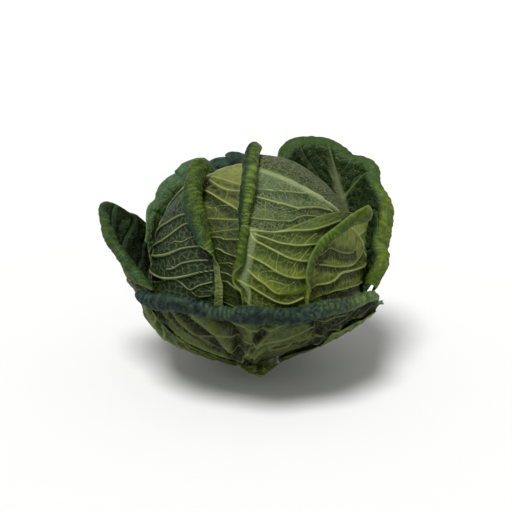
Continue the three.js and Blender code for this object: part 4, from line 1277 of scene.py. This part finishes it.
# The stump: a cut face with its ring of fibres, and a side that bears scars of leaves
STUMP_TOP = 41.5
STUMP = [
    [0.02, 0], [5, 0], [10, 0], [14.4, 0], [15.4, 0.5], [16, 1.6], [15.8, 4], [15.5, 8], [15.2, 13],
    [15, 18], [14.6, 26], [14.2, 34], [14, 40.5], [13.4, 41.4], [0.02, STUMP_TOP],
]
SCARS = (9, 5)  # how wide and how tall the scars of leaves are
profile = along(STUMP, np.linspace(0, 1, 90))
profile[:, 1] = np.clip(profile[:, 1], 0, STUMP_TOP)
angle, row = np.meshgrid(np.linspace(0, 360, 96, endpoint=False), np.arange(len(profile)))
wide, tall = profile[row, 0], profile[row, 1]
skin = np.stack([angle * 0.26, tall], -1).reshape(-1, 2)
scar, _ = cells(skin, SCARS, 5)
rough = (0.25 * noise(skin, 3, 9) - 0.5 * np.exp(-((scar / 0.6) ** 2))).reshape(wide.shape)
wide = wide + rough * smooth(1.5, 4, tall) * smooth(STUMP_TOP, 39, tall)
stalk_marks = {"scar": np.exp(-((scar / 0.8) ** 2)), "side": smooth(0.6, 3, tall.ravel())}


def stump_paint():
    p = Paint("stump.paint")
    rings = p.tree.nodes.new("ShaderNodeTexWave")
    rings.wave_type = "RINGS"
    rings.rings_direction = "Z"
    p.put(rings.inputs["Vector"], p.place)
    rings.inputs["Scale"].default_value = 60
    rings.inputs["Distortion"].default_value = 3
    cut = p.mix(p.span(rings.outputs["Fac"], 0.2, 0.8), (0.5, 0.47, 0.27), (0.36, 0.37, 0.17))
    cut = p.mix(p.span(p.noise(2.5, 4), 0.4, 0.7), cut, (0.6, 0.58, 0.4))
    bark = p.mix(p.mark("scar"), (0.13, 0.17, 0.06), (0.07, 0.07, 0.03))
    colour = p.mix(p.mark("side"), cut, bark)
    p.put(p.shader.inputs["Base Color"], colour)
    p.put(p.shader.inputs["Roughness"], p.span(p.noise(3, 3), 0.3, 0.7, 0.5, 0.75))
    p.put(p.shader.inputs["Normal"], p.bump(p.noise(1.2, 3), 0.25))
    return p.material


stump = closed_mesh("stump.fine", around(angle, wide, tall), stalk_marks, stump_paint())
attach(stump, "root")
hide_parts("stump")

# Floor, light and camera. The floor's profile is in metres, from its middle out and up.
DISH = [[0.001, 0], [1.5, 0], [3.2, 0], [4.2, 0.1], [5.0, 0.5], [5.6, 1.2], [6.0, 2.2]]
paper = bpy.data.materials.new("floor.paint")
paper.use_nodes = True
paper.node_tree.nodes["Principled BSDF"].inputs["Base Color"].default_value = (0.78, 0.78, 0.77, 1)
paper.node_tree.nodes["Principled BSDF"].inputs["Roughness"].default_value = 1
paper.node_tree.nodes["Principled BSDF"].inputs["Specular IOR Level"].default_value = 0
dish = along(DISH, np.linspace(0, 1, 60)) / MM
dish_angle, dish_row = np.meshgrid(np.linspace(0, 360, 96, endpoint=False), np.arange(len(dish)))
floor = closed_mesh("floor", around(dish_angle, dish[dish_row, 0], dish[dish_row, 1]), {}, paper)

world = bpy.data.worlds.new("studio")
bpy.context.scene.world = world
world.use_nodes = True
world.node_tree.nodes["Background"].inputs["Color"].default_value = (1, 1, 0.99, 1)
world.node_tree.nodes["Background"].inputs["Strength"].default_value = 0.33


def sun(name, source, power, spread):
    data = bpy.data.lights.new(name, "SUN")
    data.energy = power
    data.angle = math.radians(spread)
    lamp = bpy.data.objects.new(name, data)
    lamp.rotation_euler = Vector(source).to_track_quat("Z", "Y").to_euler()
    bpy.context.scene.collection.objects.link(lamp)


sun("key", (-0.2, -0.35, 1.0), 3.1, 24)
sun("side", (0.35, -0.9, 0.15), 0.8, 30)

TARGET = Vector((-0.0005, 0, 0.088))
DISTANCE = 0.6485
ELEVATION = math.radians(16)
camera = bpy.data.cameras.new("camera")
camera.lens = 60
camera.sensor_width = 36
camera.clip_start = 0.01
camera_object = bpy.data.objects.new("camera", camera)
camera_object.location = TARGET + Vector((0, -math.cos(ELEVATION), math.sin(ELEVATION))) * DISTANCE
camera_object.rotation_euler = (math.radians(90) - ELEVATION, 0, 0)
bpy.context.scene.collection.objects.link(camera_object)
bpy.context.scene.camera = camera_object
bpy.context.scene.view_settings.view_transform = "Standard"
